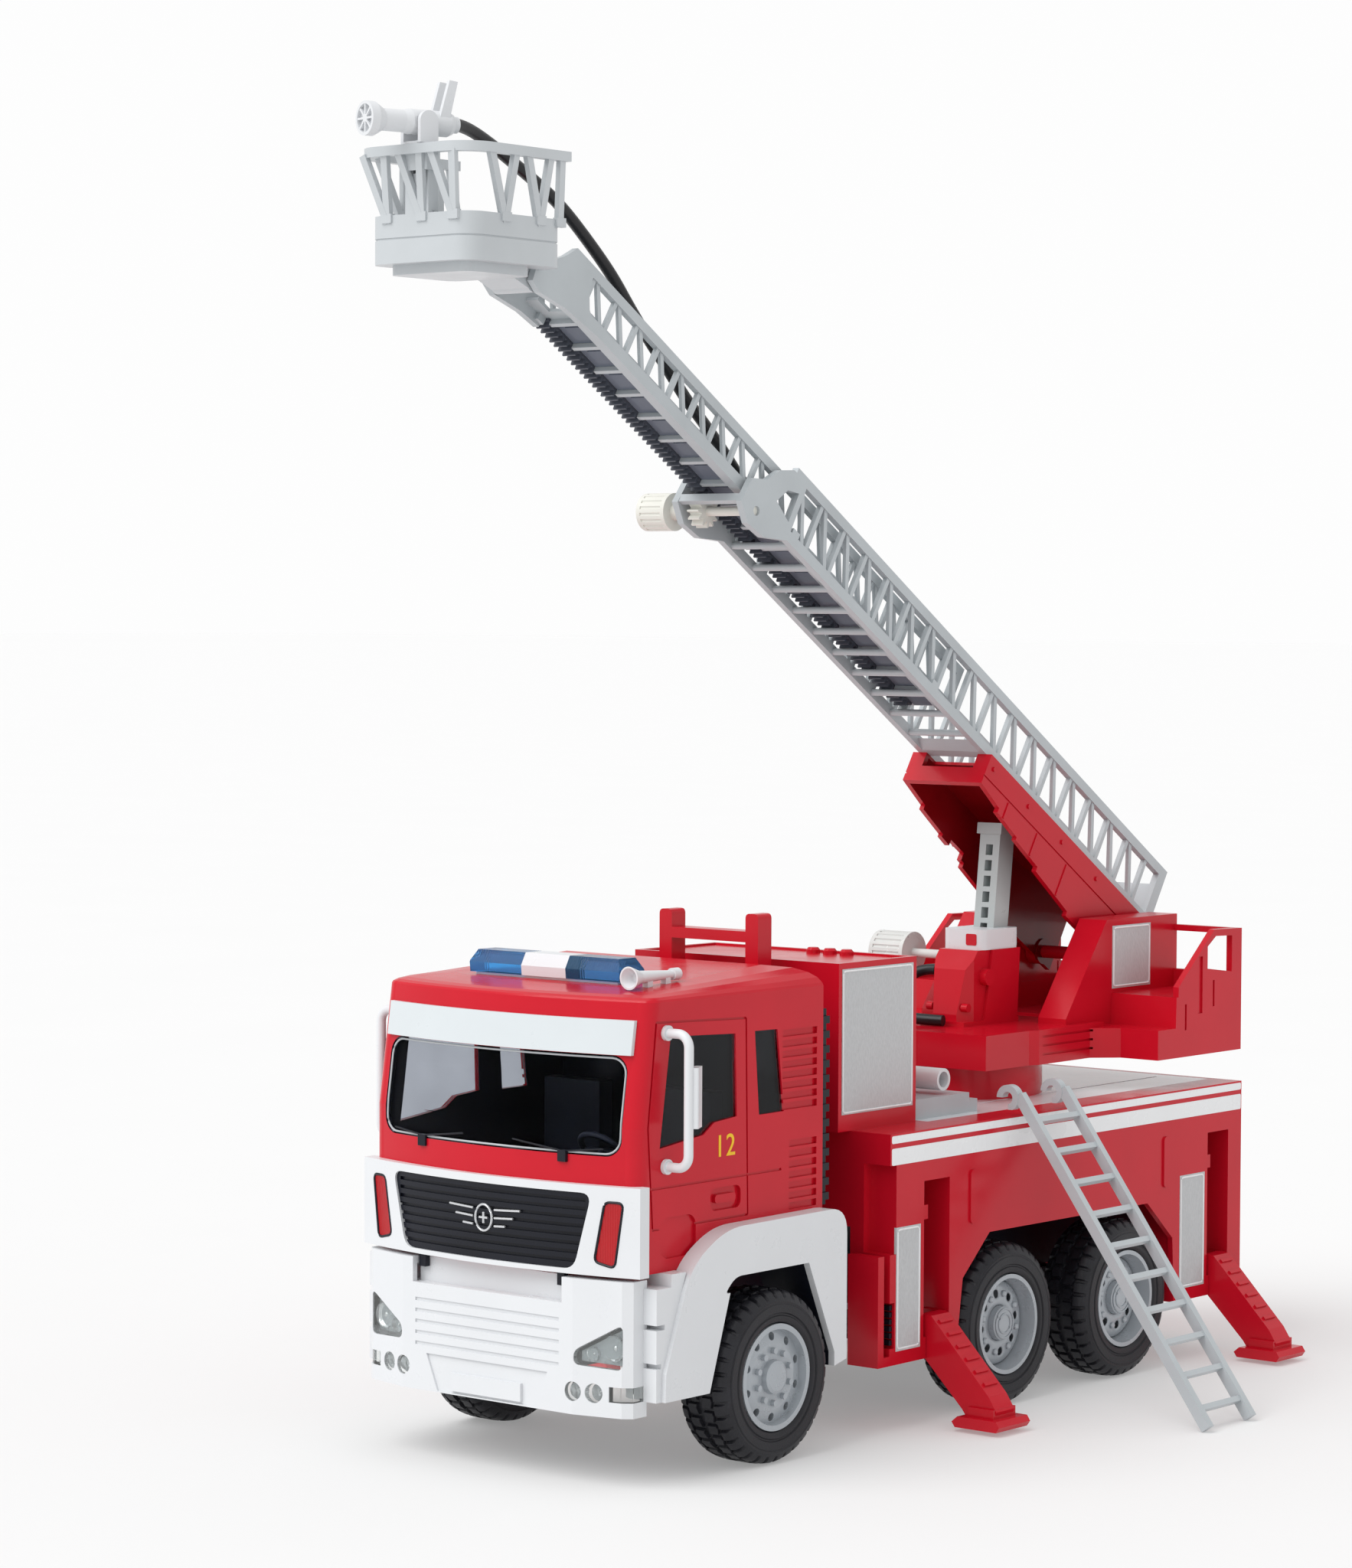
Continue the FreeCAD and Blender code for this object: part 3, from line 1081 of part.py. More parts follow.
def lift_housing():
    """The red cover round the rod's drive, bolted on the platform."""
    cover = prism("x", [(295.5, PLATFORM_TOP), (295.5, 159), (299.3, 179), (306, 187.4), (322, 187.4),
                        (322, PLATFORM_TOP)], -10.6, 10.6)
    plan = [(-10.6, 322), (-10.6, 303), (-5.6, 294), (5.6, 294), (10.6, 303), (10.6, 322)]
    cover = cover.common(prism("z", plan, PLATFORM_TOP, 187.4))
    upright_line = [(309.4, PLATFORM_TOP), (315.5, 187.4), (337, 187.4), (335, PLATFORM_TOP)]
    uprights = prism("x", upright_line, -12, 12)
    flange = box((-12, 12), (293.5, 336), (PLATFORM_TOP, 156))
    boss = both(rod((9, 310.5, 175.4), (14.2, 310.5, 175.4), 3.8))
    bolts = both(rod((8, 298.4, 162.1), (11.2, 298.4, 162.1), 1.9))
    pinion_room = rod((-8, *LIFT_KNOB), (8, *LIFT_KNOB), DRUM_ROOM_R)
    shaft_room = rod((-30, *LIFT_KNOB), (8, *LIFT_KNOB), KNOB_SHAFT_R + RUNNING)
    whole = fuse(cover, uprights, flange, *boss, *bolts)
    return cut(whole, rod_room(), pinion_room, shaft_room)


def lift_collar():
    """The white guide collar on top of the housing."""
    block = rounded("z", (-11.2, 11.2), (308.5, 338), 4, 187.4, 196.5)
    return block.cut([rod_room(), rod((-8, *LIFT_KNOB), (8, *LIFT_KNOB), DRUM_ROOM_R)])


def lift_knob():
    """Ribbed hand knob, shaft and the drive drum behind the rod."""
    drum = rod((-7.6, *LIFT_KNOB), (7.6, *LIFT_KNOB), DRUM_R)
    shaft = rod((-36, *LIFT_KNOB), (0, *LIFT_KNOB), KNOB_SHAFT_R)
    knob = rod((-52, *LIFT_KNOB), (-33, *LIFT_KNOB), 9.5)
    flutes = []
    for i in range(20):
        angle = 2 * math.pi * i / 20
        at = (LIFT_KNOB[0] + 9.7 * math.cos(angle), LIFT_KNOB[1] + 9.7 * math.sin(angle))
        flutes.append(rod((-50, *at), (-35, *at), 0.8))
    return fuse(drum, shaft, knob.cut(flutes))


# ---- loose and folding pieces ------------------------------------------------
def outrigger(low):
    """A leg that swings out of its slot, with a swivel pad moulded at its foot."""
    y0, y1 = low + 2.3, low + 15.2
    pin_x, pin_z = OUTRIGGER_PIVOT
    leg = prism("y", [(66.5, 36), (67.5, 43.5), (73, 46.5), (78, 46), (107.5, 15.5), (111.5, 9.5), (110, 5),
                      (97, 5), (94, 9)], y0, y1)
    steps = []
    for i in range(6):
        x = 80.5 + 4.6 * i
        z = 43.4 - 4.75 * i
        steps.append(bar((x, y0 + 2, z), (x, y1 - 2, z), 1.6, 1.6, (1, 0, 1)))
    pad_line = [(93.8, 2), (114.6, 2), (116.2, 4.2), (114.6, 6.6), (95, 6.6), (92.2, 4.2)]
    pad = prism("y", pad_line, y0 - 4.8, y1 + 4.8)
    block = box((98, 111), (y0 - 1.5, y1 + 1.5), (5, 10.5))
    pin = rod((pin_x, low - 2.6, pin_z), (pin_x, low + 20.1, pin_z), 1.5)
    return fuse(leg, pad, block, pin, *steps)


def scaling_ladder():
    """Hook-on ladder that leans on the left edge of the deck."""
    foot = V(LADDER_FOOT[0], 0, LADDER_FOOT[1])
    top = V(LADDER_TOP[0], 0, LADDER_TOP[1])
    along = (top - foot).normalize()
    normal = V(-along.z, 0, along.x)
    if normal.z < 0:
        normal = normal * -1
    rails = []
    for y in LADDER_Y:
        start = foot + V(0, y, 0)
        end = top + V(0, y, 0)
        rails.append(bar(start, end, 4.6, 3.6, (0, 1, 0)))
        ring = Part.makeCylinder(5.6, 4.0, V(73.2, y - 2, 131.6), V(0, 1, 0))
        hole = Part.makeCylinder(2.6, 6.0, V(73.2, y - 3, 131.6), V(0, 1, 0))
        gap = box((60, 73.5), (y - 3, y + 3), (110, 131.6))
        below = box((60, 80), (y - 3, y + 3), (110, 126.6))
        rails.append(cut(ring, hole, gap, below))
    rungs = []
    length = (top - foot).Length
    for i in range(10):
        place = foot + along * (9 + (length - 16) / 9.4 * i)
        rungs.append(bar(place + V(0, LADDER_Y[0], 0), place + V(0, LADDER_Y[1], 0), 3.2, 2.4, along))
    return fuse(*rails, *rungs)


# ---- write every node --------------------------------------------------------
def main():
    os.makedirs("parts", exist_ok=True)
    nodes = {
        "chassis_frame": axle_rails(),
        "cab_shell": cab_shell(),
        "cab_roof": cab_roof(),
        "windscreen": windscreen(),
        "side_windows": side_windows(),
        "sun_visor": sun_visor(),
        "grille_panel": grille_panel(),
        "grille": grille(),
        "marker_lamps": marker_lamps(),
        "bumper": bumper(),
        "headlamps": headlamps(),
        "front_fenders": front_fenders(),
        "fender_liners": fender_liners(),
        "cab_steps": cab_steps(),
        "mirrors": mirrors(),
        "light_bar_base": light_bar_base(),
        "light_bar_lenses": light_bar_lenses(),
        "horn": horn(),
        "ladder_rack": ladder_rack(),
        "cab_interior": cab_interior(),
        "intake_duct": intake_duct(),
        "body_shell": body_shell(),
        "equipment_box": equipment_box(),
        "locker_panels": locker_panels(),
        "deck_plate": deck_plate(),
        "plinth": plinth(),
        "outlet_pipe": outlet_pipe(),
        "pedestal": pedestal(),
        "platform": platform(),
        "boom_brackets": boom_brackets(),
        "bracket_panels": bracket_panels(),
        "turntable_hose": tube_path(TURNTABLE_HOSE, HOSE_R),
        "shroud": shroud(),
        "base_ladder": base_ladder(),
        "crank": crank(),
        "fly_ladder": fly_ladder(),
        "rack": rack(),
        "fly_hose": tube_path(FLY_HOSE, HOSE_R),
        "bucket": bucket(),
        "nozzle_base": nozzle_base(),
        "nozzle_barrel": nozzle_barrel(),
        "lift_housing": lift_housing(),
        "lift_collar": lift_collar(),
        "lift_rod": lift_rod(),
        "lift_knob": lift_knob(),
        "scaling_ladder": scaling_ladder(),
    }
    for number, (x, y) in enumerate(BUTTON_PLACES, 1):
        nodes["button_%d" % number] = push_button(x, y)
    for axle, (y, outer) in WHEEL_SETS.items():
        rim = front_rim if axle == "front" else rear_rim
        nodes["%s_wheels" % axle] = wheel_set(y, outer, rim)
        nodes["%s_tyres" % axle] = pair(tyre(y, outer))
    for place, (low, _) in zip(("front", "rear"), SLOTS):
        leg = outrigger(low)
        nodes["outrigger_%s_left" % place] = leg
        nodes["outrigger_%s_right" % place] = mirrored(leg)
    for name, shape in nodes.items():
        write(name, shape)


main()
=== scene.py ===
import math
import bmesh
import bpy
from mathutils import Matrix, Vector


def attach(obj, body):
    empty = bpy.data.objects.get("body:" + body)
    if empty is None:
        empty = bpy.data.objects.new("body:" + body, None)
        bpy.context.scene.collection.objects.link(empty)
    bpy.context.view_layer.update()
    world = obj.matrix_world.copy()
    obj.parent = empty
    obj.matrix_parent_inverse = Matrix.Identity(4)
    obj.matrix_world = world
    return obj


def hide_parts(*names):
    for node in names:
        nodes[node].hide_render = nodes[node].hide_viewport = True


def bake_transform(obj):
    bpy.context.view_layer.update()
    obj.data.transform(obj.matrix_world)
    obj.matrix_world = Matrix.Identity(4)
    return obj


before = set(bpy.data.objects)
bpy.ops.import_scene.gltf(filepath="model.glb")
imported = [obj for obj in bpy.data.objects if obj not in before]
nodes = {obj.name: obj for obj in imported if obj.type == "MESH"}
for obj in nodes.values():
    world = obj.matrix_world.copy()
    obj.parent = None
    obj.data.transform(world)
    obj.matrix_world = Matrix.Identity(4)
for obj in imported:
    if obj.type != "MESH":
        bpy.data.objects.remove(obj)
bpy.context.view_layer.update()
scene = bpy.context.scene
MM = 0.001
AXIS_FROM_FRONT = 305.0       # the drawing's y of the turntable axis, mm


def place(x, y, z):
    """A point of the drawing, in millimetres, as metres in the row frame."""
    return Vector((x * MM, (y - AXIS_FROM_FRONT) * MM, z * MM))


# ---------------------------------------------------------------- camera and light

CAMERA_PLACE = (1.1122, -1.54788, 0.33949)
YAW = math.radians(39.52)
PITCH = math.radians(-2.35)
ROLL = math.radians(0.27)
LENS = 97.24
SENSOR = 36.0
WORLD_LIGHT = 0.80
BACKDROP = 0.985
SUN_SHARE = 0.62
SUN_WIDTH = math.radians(50.0)
SUN_HEADING = (0.25, 0.75, -0.95)


def aim_camera():
    forward = Vector((-math.sin(YAW) * math.cos(PITCH), math.cos(YAW) * math.cos(PITCH), math.sin(PITCH)))
    level = Vector((math.cos(YAW), math.sin(YAW), 0.0))
    upright = level.cross(forward)
    right = level * math.cos(ROLL) + upright * math.sin(ROLL)
    up = upright * math.cos(ROLL) - level * math.sin(ROLL)
    data = bpy.data.cameras.new("camera")
    data.lens = LENS
    data.sensor_width = SENSOR
    camera = bpy.data.objects.new("camera", data)
    camera.rotation_mode = "QUATERNION"
    camera.rotation_quaternion = Matrix((right, up, -forward)).transposed().to_quaternion()
    camera.location = CAMERA_PLACE
    scene.collection.objects.link(camera)
    scene.camera = camera
    scene.view_settings.view_transform = "Standard"


def studio_light():
    """A white room: what is seen directly or through clear plastic is brighter than what lights it."""
    world = bpy.data.worlds.new("studio")
    world.use_nodes = True
    tree = world.node_tree
    seen = tree.nodes.new("ShaderNodeLightPath")
    either = tree.nodes.new("ShaderNodeMath")
    either.operation = "MAXIMUM"
    tree.links.new(seen.outputs["Is Camera Ray"], either.inputs[0])
    tree.links.new(seen.outputs["Is Transmission Ray"], either.inputs[1])
    level = tree.nodes.new("ShaderNodeMapRange")
    level.inputs["To Min"].default_value = WORLD_LIGHT
    level.inputs["To Max"].default_value = BACKDROP
    tree.links.new(either.outputs[0], level.inputs["Value"])
    tree.links.new(level.outputs["Result"], tree.nodes["Background"].inputs["Strength"])
    tree.nodes["Background"].inputs["Color"].default_value = (1.0, 1.0, 1.0, 1.0)
    scene.world = world
    data = bpy.data.lights.new("key", "SUN")
    data.energy = SUN_SHARE * math.pi
    data.angle = SUN_WIDTH
    lamp = bpy.data.objects.new("key", data)
    lamp.rotation_mode = "QUATERNION"
    lamp.rotation_quaternion = Vector(SUN_HEADING).to_track_quat("-Z", "Y")
    scene.collection.objects.link(lamp)


aim_camera()
studio_light()


# ---------------------------------------------------------------- materials

def new_material(name):
    made = bpy.data.materials.new(name)
    made.use_nodes = True
    tree = made.node_tree
    return made, tree, tree.nodes["Principled BSDF"]


def object_space(tree, scale=(1.0, 1.0, 1.0)):
    coords = tree.nodes.new("ShaderNodeTexCoord")
    mapping = tree.nodes.new("ShaderNodeMapping")
    mapping.inputs["Scale"].default_value = scale
    tree.links.new(coords.outputs["Object"], mapping.inputs["Vector"])
    return mapping.outputs["Vector"]


def noise(tree, vector, scale, detail=3.0, roughness=0.55):
    node = tree.nodes.new("ShaderNodeTexNoise")
    node.inputs["Scale"].default_value = scale
    node.inputs["Detail"].default_value = detail
    node.inputs["Roughness"].default_value = roughness
    tree.links.new(vector, node.inputs["Vector"])
    return node.outputs["Fac"]


def ramp(tree, factor, low, high):
    node = tree.nodes.new("ShaderNodeValToRGB")
    for element, position, colour in zip(node.color_ramp.elements, (0.3, 0.7), (low, high)):
        element.position = position
        element.color = (*colour, 1.0)
    tree.links.new(factor, node.inputs["Fac"])
    return node.outputs["Color"]


def spread(tree, factor, low, high, start=0.3, end=0.7):
    node = tree.nodes.new("ShaderNodeMapRange")
    for key, value in (("From Min", start), ("From Max", end), ("To Min", low), ("To Max", high)):
        node.inputs[key].default_value = value
    tree.links.new(factor, node.inputs["Value"])
    return node.outputs["Result"]


def shade(colour, gain):
    return tuple(min(1.0, c * gain) for c in colour)


def bump(tree, height, strength, distance, below=None):
    node = tree.nodes.new("ShaderNodeBump")
    node.inputs["Strength"].default_value = strength
    node.inputs["Distance"].default_value = distance
    tree.links.new(height, node.inputs["Height"])
    if below is not None:
        tree.links.new(below, node.inputs["Normal"])
    return node.outputs["Normal"]


def calculate(tree, operation, first, second):
    node = tree.nodes.new("ShaderNodeMath")
    node.operation = operation
    for slot, value in zip(node.inputs, (first, second)):
        if isinstance(value, float):
            slot.default_value = value
        else:
            tree.links.new(value, slot)
    return node.outputs[0]


INWARD_LIMIT = 0.004          # how far a face has to look towards the centre, metres


def inner_faces(tree, centre, half):
    """1 on the faces that look towards a centre and lie nearer the middle plane than half, metres; the mask
    for painted shade inside hollow mouldings.
    """
    coords = tree.nodes.new("ShaderNodeTexCoord")
    towards = tree.nodes.new("ShaderNodeVectorMath")
    towards.operation = "SUBTRACT"
    towards.inputs[0].default_value = centre
    tree.links.new(coords.outputs["Object"], towards.inputs[1])
    facing = tree.nodes.new("ShaderNodeVectorMath")
    facing.operation = "DOT_PRODUCT"
    tree.links.new(coords.outputs["Normal"], facing.inputs[0])
    tree.links.new(towards.outputs["Vector"], facing.inputs[1])
    split = tree.nodes.new("ShaderNodeSeparateXYZ")
    tree.links.new(coords.outputs["Object"], split.inputs["Vector"])
    across = calculate(tree, "ABSOLUTE", split.outputs["X"], 0.0)
    near = calculate(tree, "LESS_THAN", across, half)
    inward = calculate(tree, "GREATER_THAN", facing.outputs["Value"], INWARD_LIMIT)
    return calculate(tree, "MULTIPLY", inward, near)


def moulded(name, colour, rough, gloss=0.25, grain=(900.0, 0.10), vary=0.05, metal=0.0, coat=0.0,
            inner_shade=None):
    """Injection-moulded plastic: a faint flow mottle, uneven gloss and fine grain.
    The last argument, (colour, centre, half), paints the faces inside a hollow moulding in that colour as
    painted shade."""
    made, tree, shader = new_material(name)
    vector = object_space(tree)
    flow = noise(tree, vector, 28.0, 4.0)
    base = ramp(tree, flow, shade(colour, 1.0 - vary), shade(colour, 1.0 + vary))
    # painted shade: the faces inside the hollow moulding take the darker colour
    if inner_shade is not None:
        mix = tree.nodes.new("ShaderNodeMix")
        mix.data_type = "RGBA"
        tree.links.new(inner_faces(tree, *inner_shade[1:]), mix.inputs["Factor"])
        tree.links.new(base, mix.inputs["A"])
        painted_inner_shade = ramp(tree, flow, shade(inner_shade[0], 0.85), shade(inner_shade[0], 1.15))
        tree.links.new(painted_inner_shade, mix.inputs["B"])
        base = mix.outputs["Result"]
    tree.links.new(base, shader.inputs["Base Color"])
    smudge = noise(tree, vector, 65.0, 5.0, 0.6)
    tree.links.new(spread(tree, smudge, rough * 0.85, rough * 1.2), shader.inputs["Roughness"])
    wave = noise(tree, vector, 45.0, 2.0)
    fine = noise(tree, vector, grain[0], 2.0)
    soft = bump(tree, wave, 0.03, 0.0004)
    tree.links.new(bump(tree, fine, grain[1], 0.0002, soft), shader.inputs["Normal"])
    shader.inputs["Specular IOR Level"].default_value = gloss
    shader.inputs["Metallic"].default_value = metal
    shader.inputs["Coat Weight"].default_value = coat
    shader.inputs["Coat Roughness"].default_value = 0.08
    return made


def tyre_rubber():
    made, tree, shader = new_material("tyre_rubber")
    vector = object_space(tree)
    dust = noise(tree, vector, 90.0, 5.0, 0.65)
    base = ramp(tree, dust, (0.007, 0.007, 0.010), (0.016, 0.016, 0.021))
    tree.links.new(base, shader.inputs["Base Color"])
    tree.links.new(spread(tree, dust, 0.36, 0.52), shader.inputs["Roughness"])
    fine = noise(tree, vector, 1400.0, 3.0)
    tree.links.new(bump(tree, fine, 0.3, 0.0003), shader.inputs["Normal"])
    shader.inputs["Specular IOR Level"].default_value = 0.35
    return made


def clear(name, colour, rough, ior, weight=1.0, tint=0.06, ribs=0.0):
    """A clear moulding with faint flow lines, and fine upright ribs where asked."""
    made, tree, shader = new_material(name)
    vector = object_space(tree)
    flow = noise(tree, vector, 40.0, 3.0)
    base = ramp(tree, flow, shade(colour, 1.0 - tint), shade(colour, 1.0 + tint))
    tree.links.new(base, shader.inputs["Base Color"])
    tree.links.new(spread(tree, flow, rough * 0.7, rough * 1.4), shader.inputs["Roughness"])
    relief = bump(tree, flow, 0.10, 0.0006)
    if ribs:
        wave = tree.nodes.new("ShaderNodeTexWave")
        wave.inputs["Scale"].default_value = ribs
        tree.links.new(vector, wave.inputs["Vector"])
        relief = bump(tree, wave.outputs["Fac"], 0.35, 0.0004, relief)
    tree.links.new(relief, shader.inputs["Normal"])
    shader.inputs["Transmission Weight"].default_value = weight
    shader.inputs["IOR"].default_value = ior
    return made


def woven_panel(name, colour):
    """The matt light grey panels with their fine pressed pattern of short upright lines."""
    made, tree, shader = new_material(name)
    vector = object_space(tree, (1.0, 1.0, 0.35))
    pattern = noise(tree, vector, 1500.0, 2.0)
    base = ramp(tree, pattern, shade(colour, 0.93), shade(colour, 1.07))
    tree.links.new(base, shader.inputs["Base Color"])
    tree.links.new(spread(tree, pattern, 0.45, 0.65), shader.inputs["Roughness"])
    tree.links.new(bump(tree, pattern, 0.5, 0.0003), shader.inputs["Normal"])
    shader.inputs["Specular IOR Level"].default_value = 0.3
    return made


RED = (0.54, 0.0055, 0.018)
# painted shade: a darker red for the faces inside the shroud
SHROUD_INSIDE_SHADE = (0.22, 0.003, 0.006)
# painted shade: dark navy for the faces inside the red cab shell
CAB_INSIDE_SHADE = (0.010, 0.012, 0.024)
WHITE = (0.70, 0.715, 0.735)

CAB_CENTRE = (0.0, -0.250, 0.140)
SHROUD_CENTRE = (0.0, 0.052, 0.218)

red = moulded("red_plastic", RED, 0.20, 0.26, (700.0, 0.05), 0.04)
# the red cab shell, with painted shade on its inside faces
cab_red_with_inner_shade = moulded("cab_red_plastic_painted_inner_shade", RED, 0.20, 0.26, (700.0, 0.05), 0.04,
                  inner_shade=(CAB_INSIDE_SHADE, CAB_CENTRE, 0.0676))
# the red shroud, with painted shade on its inside faces
shroud_red_with_inner_shade = moulded("shroud_red_plastic_painted_inner_shade", RED, 0.20, 0.26, (700.0, 0.05), 0.04,
                     inner_shade=(SHROUD_INSIDE_SHADE, SHROUD_CENTRE, 0.0196))
white = moulded("white_plastic", WHITE, 0.30, 0.40, (800.0, 0.06), 0.015)
deck_white = moulded("deck_white_plastic", (0.78, 0.80, 0.83), 0.16, 0.5, (500.0, 0.05), 0.02, coat=0.3)
silver = moulded("silver_plastic", (0.47, 0.505, 0.525), 0.34, 0.4, (1200.0, 0.10), 0.05, 0.1)
rack_grey = moulded("rack_plastic", (0.075, 0.083, 0.105), 0.40, 0.3, (900.0, 0.15), 0.1)
bucket_silver = moulded("bucket_silver_plastic", (0.54, 0.57, 0.59), 0.34, 0.4, (1200.0, 0.08), 0.04, 0.1)
rod_silver = moulded("rod_silver_plastic", (0.46, 0.50, 0.50), 0.32, 0.4, (1200.0, 0.08), 0.04, 0.1)
pale_grey = moulded("pale_grey_plastic", (0.46, 0.48, 0.50), 0.40, 0.35, (600.0, 0.15), 0.04)
panel_grey = woven_panel("panel_grey_plastic", (0.52, 0.53, 0.54))
dark = moulded("dark_plastic", (0.006, 0.007, 0.013), 0.34, 0.28, (900.0, 0.2), 0.2)
navy = moulded("navy_plastic", (0.014, 0.017, 0.032), 0.45, 0.3, (900.0, 0.2), 0.2)
under_blue = moulded("underside_plastic", (0.13, 0.15, 0.19), 0.45, 0.3, (900.0, 0.15), 0.1)
cream = moulded("cream_plastic", (0.74, 0.735, 0.68), 0.36, 0.35, (800.0, 0.08), 0.03)
rim = moulded("rim_plastic", (0.40, 0.43, 0.46), 0.28, 0.5, (1200.0, 0.06), 0.05, 0.25)
visor = moulded("visor_plastic", (0.62, 0.66, 0.68), 0.30, 0.4, (1200.0, 0.03), 0.02)
hose_rubber = moulded("hose_rubber", (0.006, 0.006, 0.008), 0.34, 0.4, (1500.0, 0.2), 0.2)
chrome = moulded("emblem_silver", (0.66, 0.67, 0.69), 0.22, 0.5, (1500.0, 0.05), 0.03, 0.7)
yellow = moulded("number_yellow", (0.86, 0.52, 0.01), 0.35, 0.35, (900.0, 0.05), 0.05)
print_white = moulded("stripe_white", (0.82, 0.83, 0.84), 0.26, 0.4, (900.0, 0.04), 0.015)
tyre = tyre_rubber()
window = clear("window_clear", (0.86, 0.88, 0.91), 0.01, 1.08)
side_pane = clear("side_window_clear", (0.42, 0.44, 0.48), 0.02, 1.2)
blue_lens = clear("blue_lens", (0.06, 0.36, 0.80), 0.05, 1.28, 0.85, ribs=260.0)
red_lens = clear("red_lens", (0.55, 0.008, 0.014), 0.12, 1.4, 0.25, ribs=300.0)
lamp_lens = clear("lamp_lens", (0.88, 0.91, 0.90), 0.04, 1.2, 0.92)
knob_white = clear("knob_white_plastic", (0.80, 0.82, 0.80), 0.28, 1.35, 0.18)

BY_SLOT = {
    "red_plastic": red, "white_plastic": white, "silver_plastic": silver,
    "pale_grey_plastic": pale_grey, "dark_plastic": dark, "cream_plastic": cream,
    "tyre": tyre, "rim_plastic": rim, "window": window, "blue_lens": blue_lens,
    "red_lens": red_lens, "lamp_lens": lamp_lens, "hose_rubber": hose_rubber,
}
BY_NODE = {
    "sun_visor": visor, "cab_shell": cab_red_with_inner_shade, "cab_roof": cab_red_with_inner_shade, "shroud": shroud_red_with_inner_shade,
    "side_windows": side_pane, "deck_plate": deck_white, "locker_panels": panel_grey,
    "bracket_panels": panel_grey, "bucket": bucket_silver, "lift_rod": rod_silver,
    "cab_interior": navy, "lift_knob": knob_white, "rack": rack_grey,
}

for node_name, node_object in nodes.items():
    for material_slot in node_object.material_slots:
        chosen = BY_NODE.get(node_name, BY_SLOT[material_slot.material.name.split(".")[0]])
        material_slot.material = chosen


# ---------------------------------------------------------------- making pieces

def skin(form, near, far):
    """The band of faces between two closed rings of the same number of points."""
    for k in range(len(near)):
        m = (k + 1) % len(near)
        form.faces.new((near[k], near[m], far[m], far[k]))


def solid_between(form, low, high):
    """A closed solid between two outlines of the same number of points."""
    bottom = [form.verts.new(p) for p in low]
    top = [form.verts.new(p) for p in high]
    form.faces.new(bottom[::-1])
    form.faces.new(top)
    skin(form, bottom, top)


def block(form, low, high):
    """A plain block between two opposite corners, millimetres."""
    corners = [(low[0], low[1]), (high[0], low[1]), (high[0], high[1]), (low[0], high[1])]
    solid_between(form, [place(x, y, low[2]) for x, y in corners], [place(x, y, high[2]) for x, y in corners])


def finished(name, form, material, body, bevel=0.0, replaces=()):
    """The bmesh as a named piece on a body, with its edges eased by a small bevel."""
    bmesh.ops.recalc_face_normals(form, faces=form.faces)
    mesh = bpy.data.meshes.new(name)
    form.to_mesh(mesh)
    form.free()
    return finished_mesh(name, mesh, material, body, bevel, replaces)


def finished_mesh(name, mesh, material, body, bevel=0.0, replaces=()):
    mesh.materials.clear()
    mesh.materials.append(material)
    made = bpy.data.objects.new(name, mesh)
    scene.collection.objects.link(made)
    if bevel:
        easing = made.modifiers.new("eased_edges", "BEVEL")
        easing.width = bevel * MM
        easing.segments = 2
        easing.limit_method = "ANGLE"
    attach(made, body)
    if replaces:
        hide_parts(*replaces)
    return made


def side_outline(points, x):
    return [place(x, a, b) for a, b in points]


def both_sides(form, points, near, far):
    """The same outline of (y, z) points as a thin solid on both sides of the truck."""
    for side in (1, -1):
        solid_between(form, side_outline(points, side * near), side_outline(points, side * far))


def eased(low, high, radius, steps=4):
    """A rectangle with rounded corners as (a, b) points."""
    made = []
    centres = [(high[0] - radius, high[1] - radius, 0), (low[0] + radius, high[1] - radius, 90),
               (low[0] + radius, low[1] + radius, 180), (high[0] - radius, low[1] + radius, 270)]
    for a, b, start in centres:
        for i in range(steps + 1):
            angle = math.radians(start + 90 * i / steps)
            made.append((a + radius * math.cos(angle), b + radius * math.sin(angle)))
    return made


def softened(points, reach, steps=5):
    """The outline with each corner turned into a curve that starts up to this far from it."""
    made = []
    for before, corner, after in zip(points[-1:] + points[:-1], points, points[1:] + points[:1]):
        ends = []
        for other in (before, after):
            share = min(reach / math.dist(corner, other), 0.45)
            ends.append([c + share * (o - c) for c, o in zip(corner, other)])
        for i in range(steps + 1):
            t = i / steps
            made.append(tuple((1 - t) ** 2 * a + 2 * t * (1 - t) * c + t * t * b
                              for a, c, b in zip(ends[0], corner, ends[1])))
    return made


def tube(form, path, radius, sides=8, closed=False):
    """A round line of solid material along a row of points, metres, with flat ends."""
    rings = []
    count = len(path)
    for i, point in enumerate(path):
        before = path[i - 1] if i or closed else point
        after = path[(i + 1) % count] if i + 1 < count or closed else point
        along = (after - before).normalized()
        guide = Vector((0, 0, 1)) if abs(along.z) < 0.9 else Vector((0, 1, 0))
        across = along.cross(guide).normalized()
        upward = across.cross(along)
        rings.append([form.verts.new(point + radius * MM * (
            across * math.cos(2 * math.pi * k / sides) + upward * math.sin(2 * math.pi * k / sides)))
            for k in range(sides)])
    last = count if closed else count - 1
    for i in range(last):
        skin(form, rings[i], rings[(i + 1) % count])
    if not closed:
        form.faces.new(rings[0][::-1])
        form.faces.new(rings[-1])


# ---------------------------------------------------------------- hoses

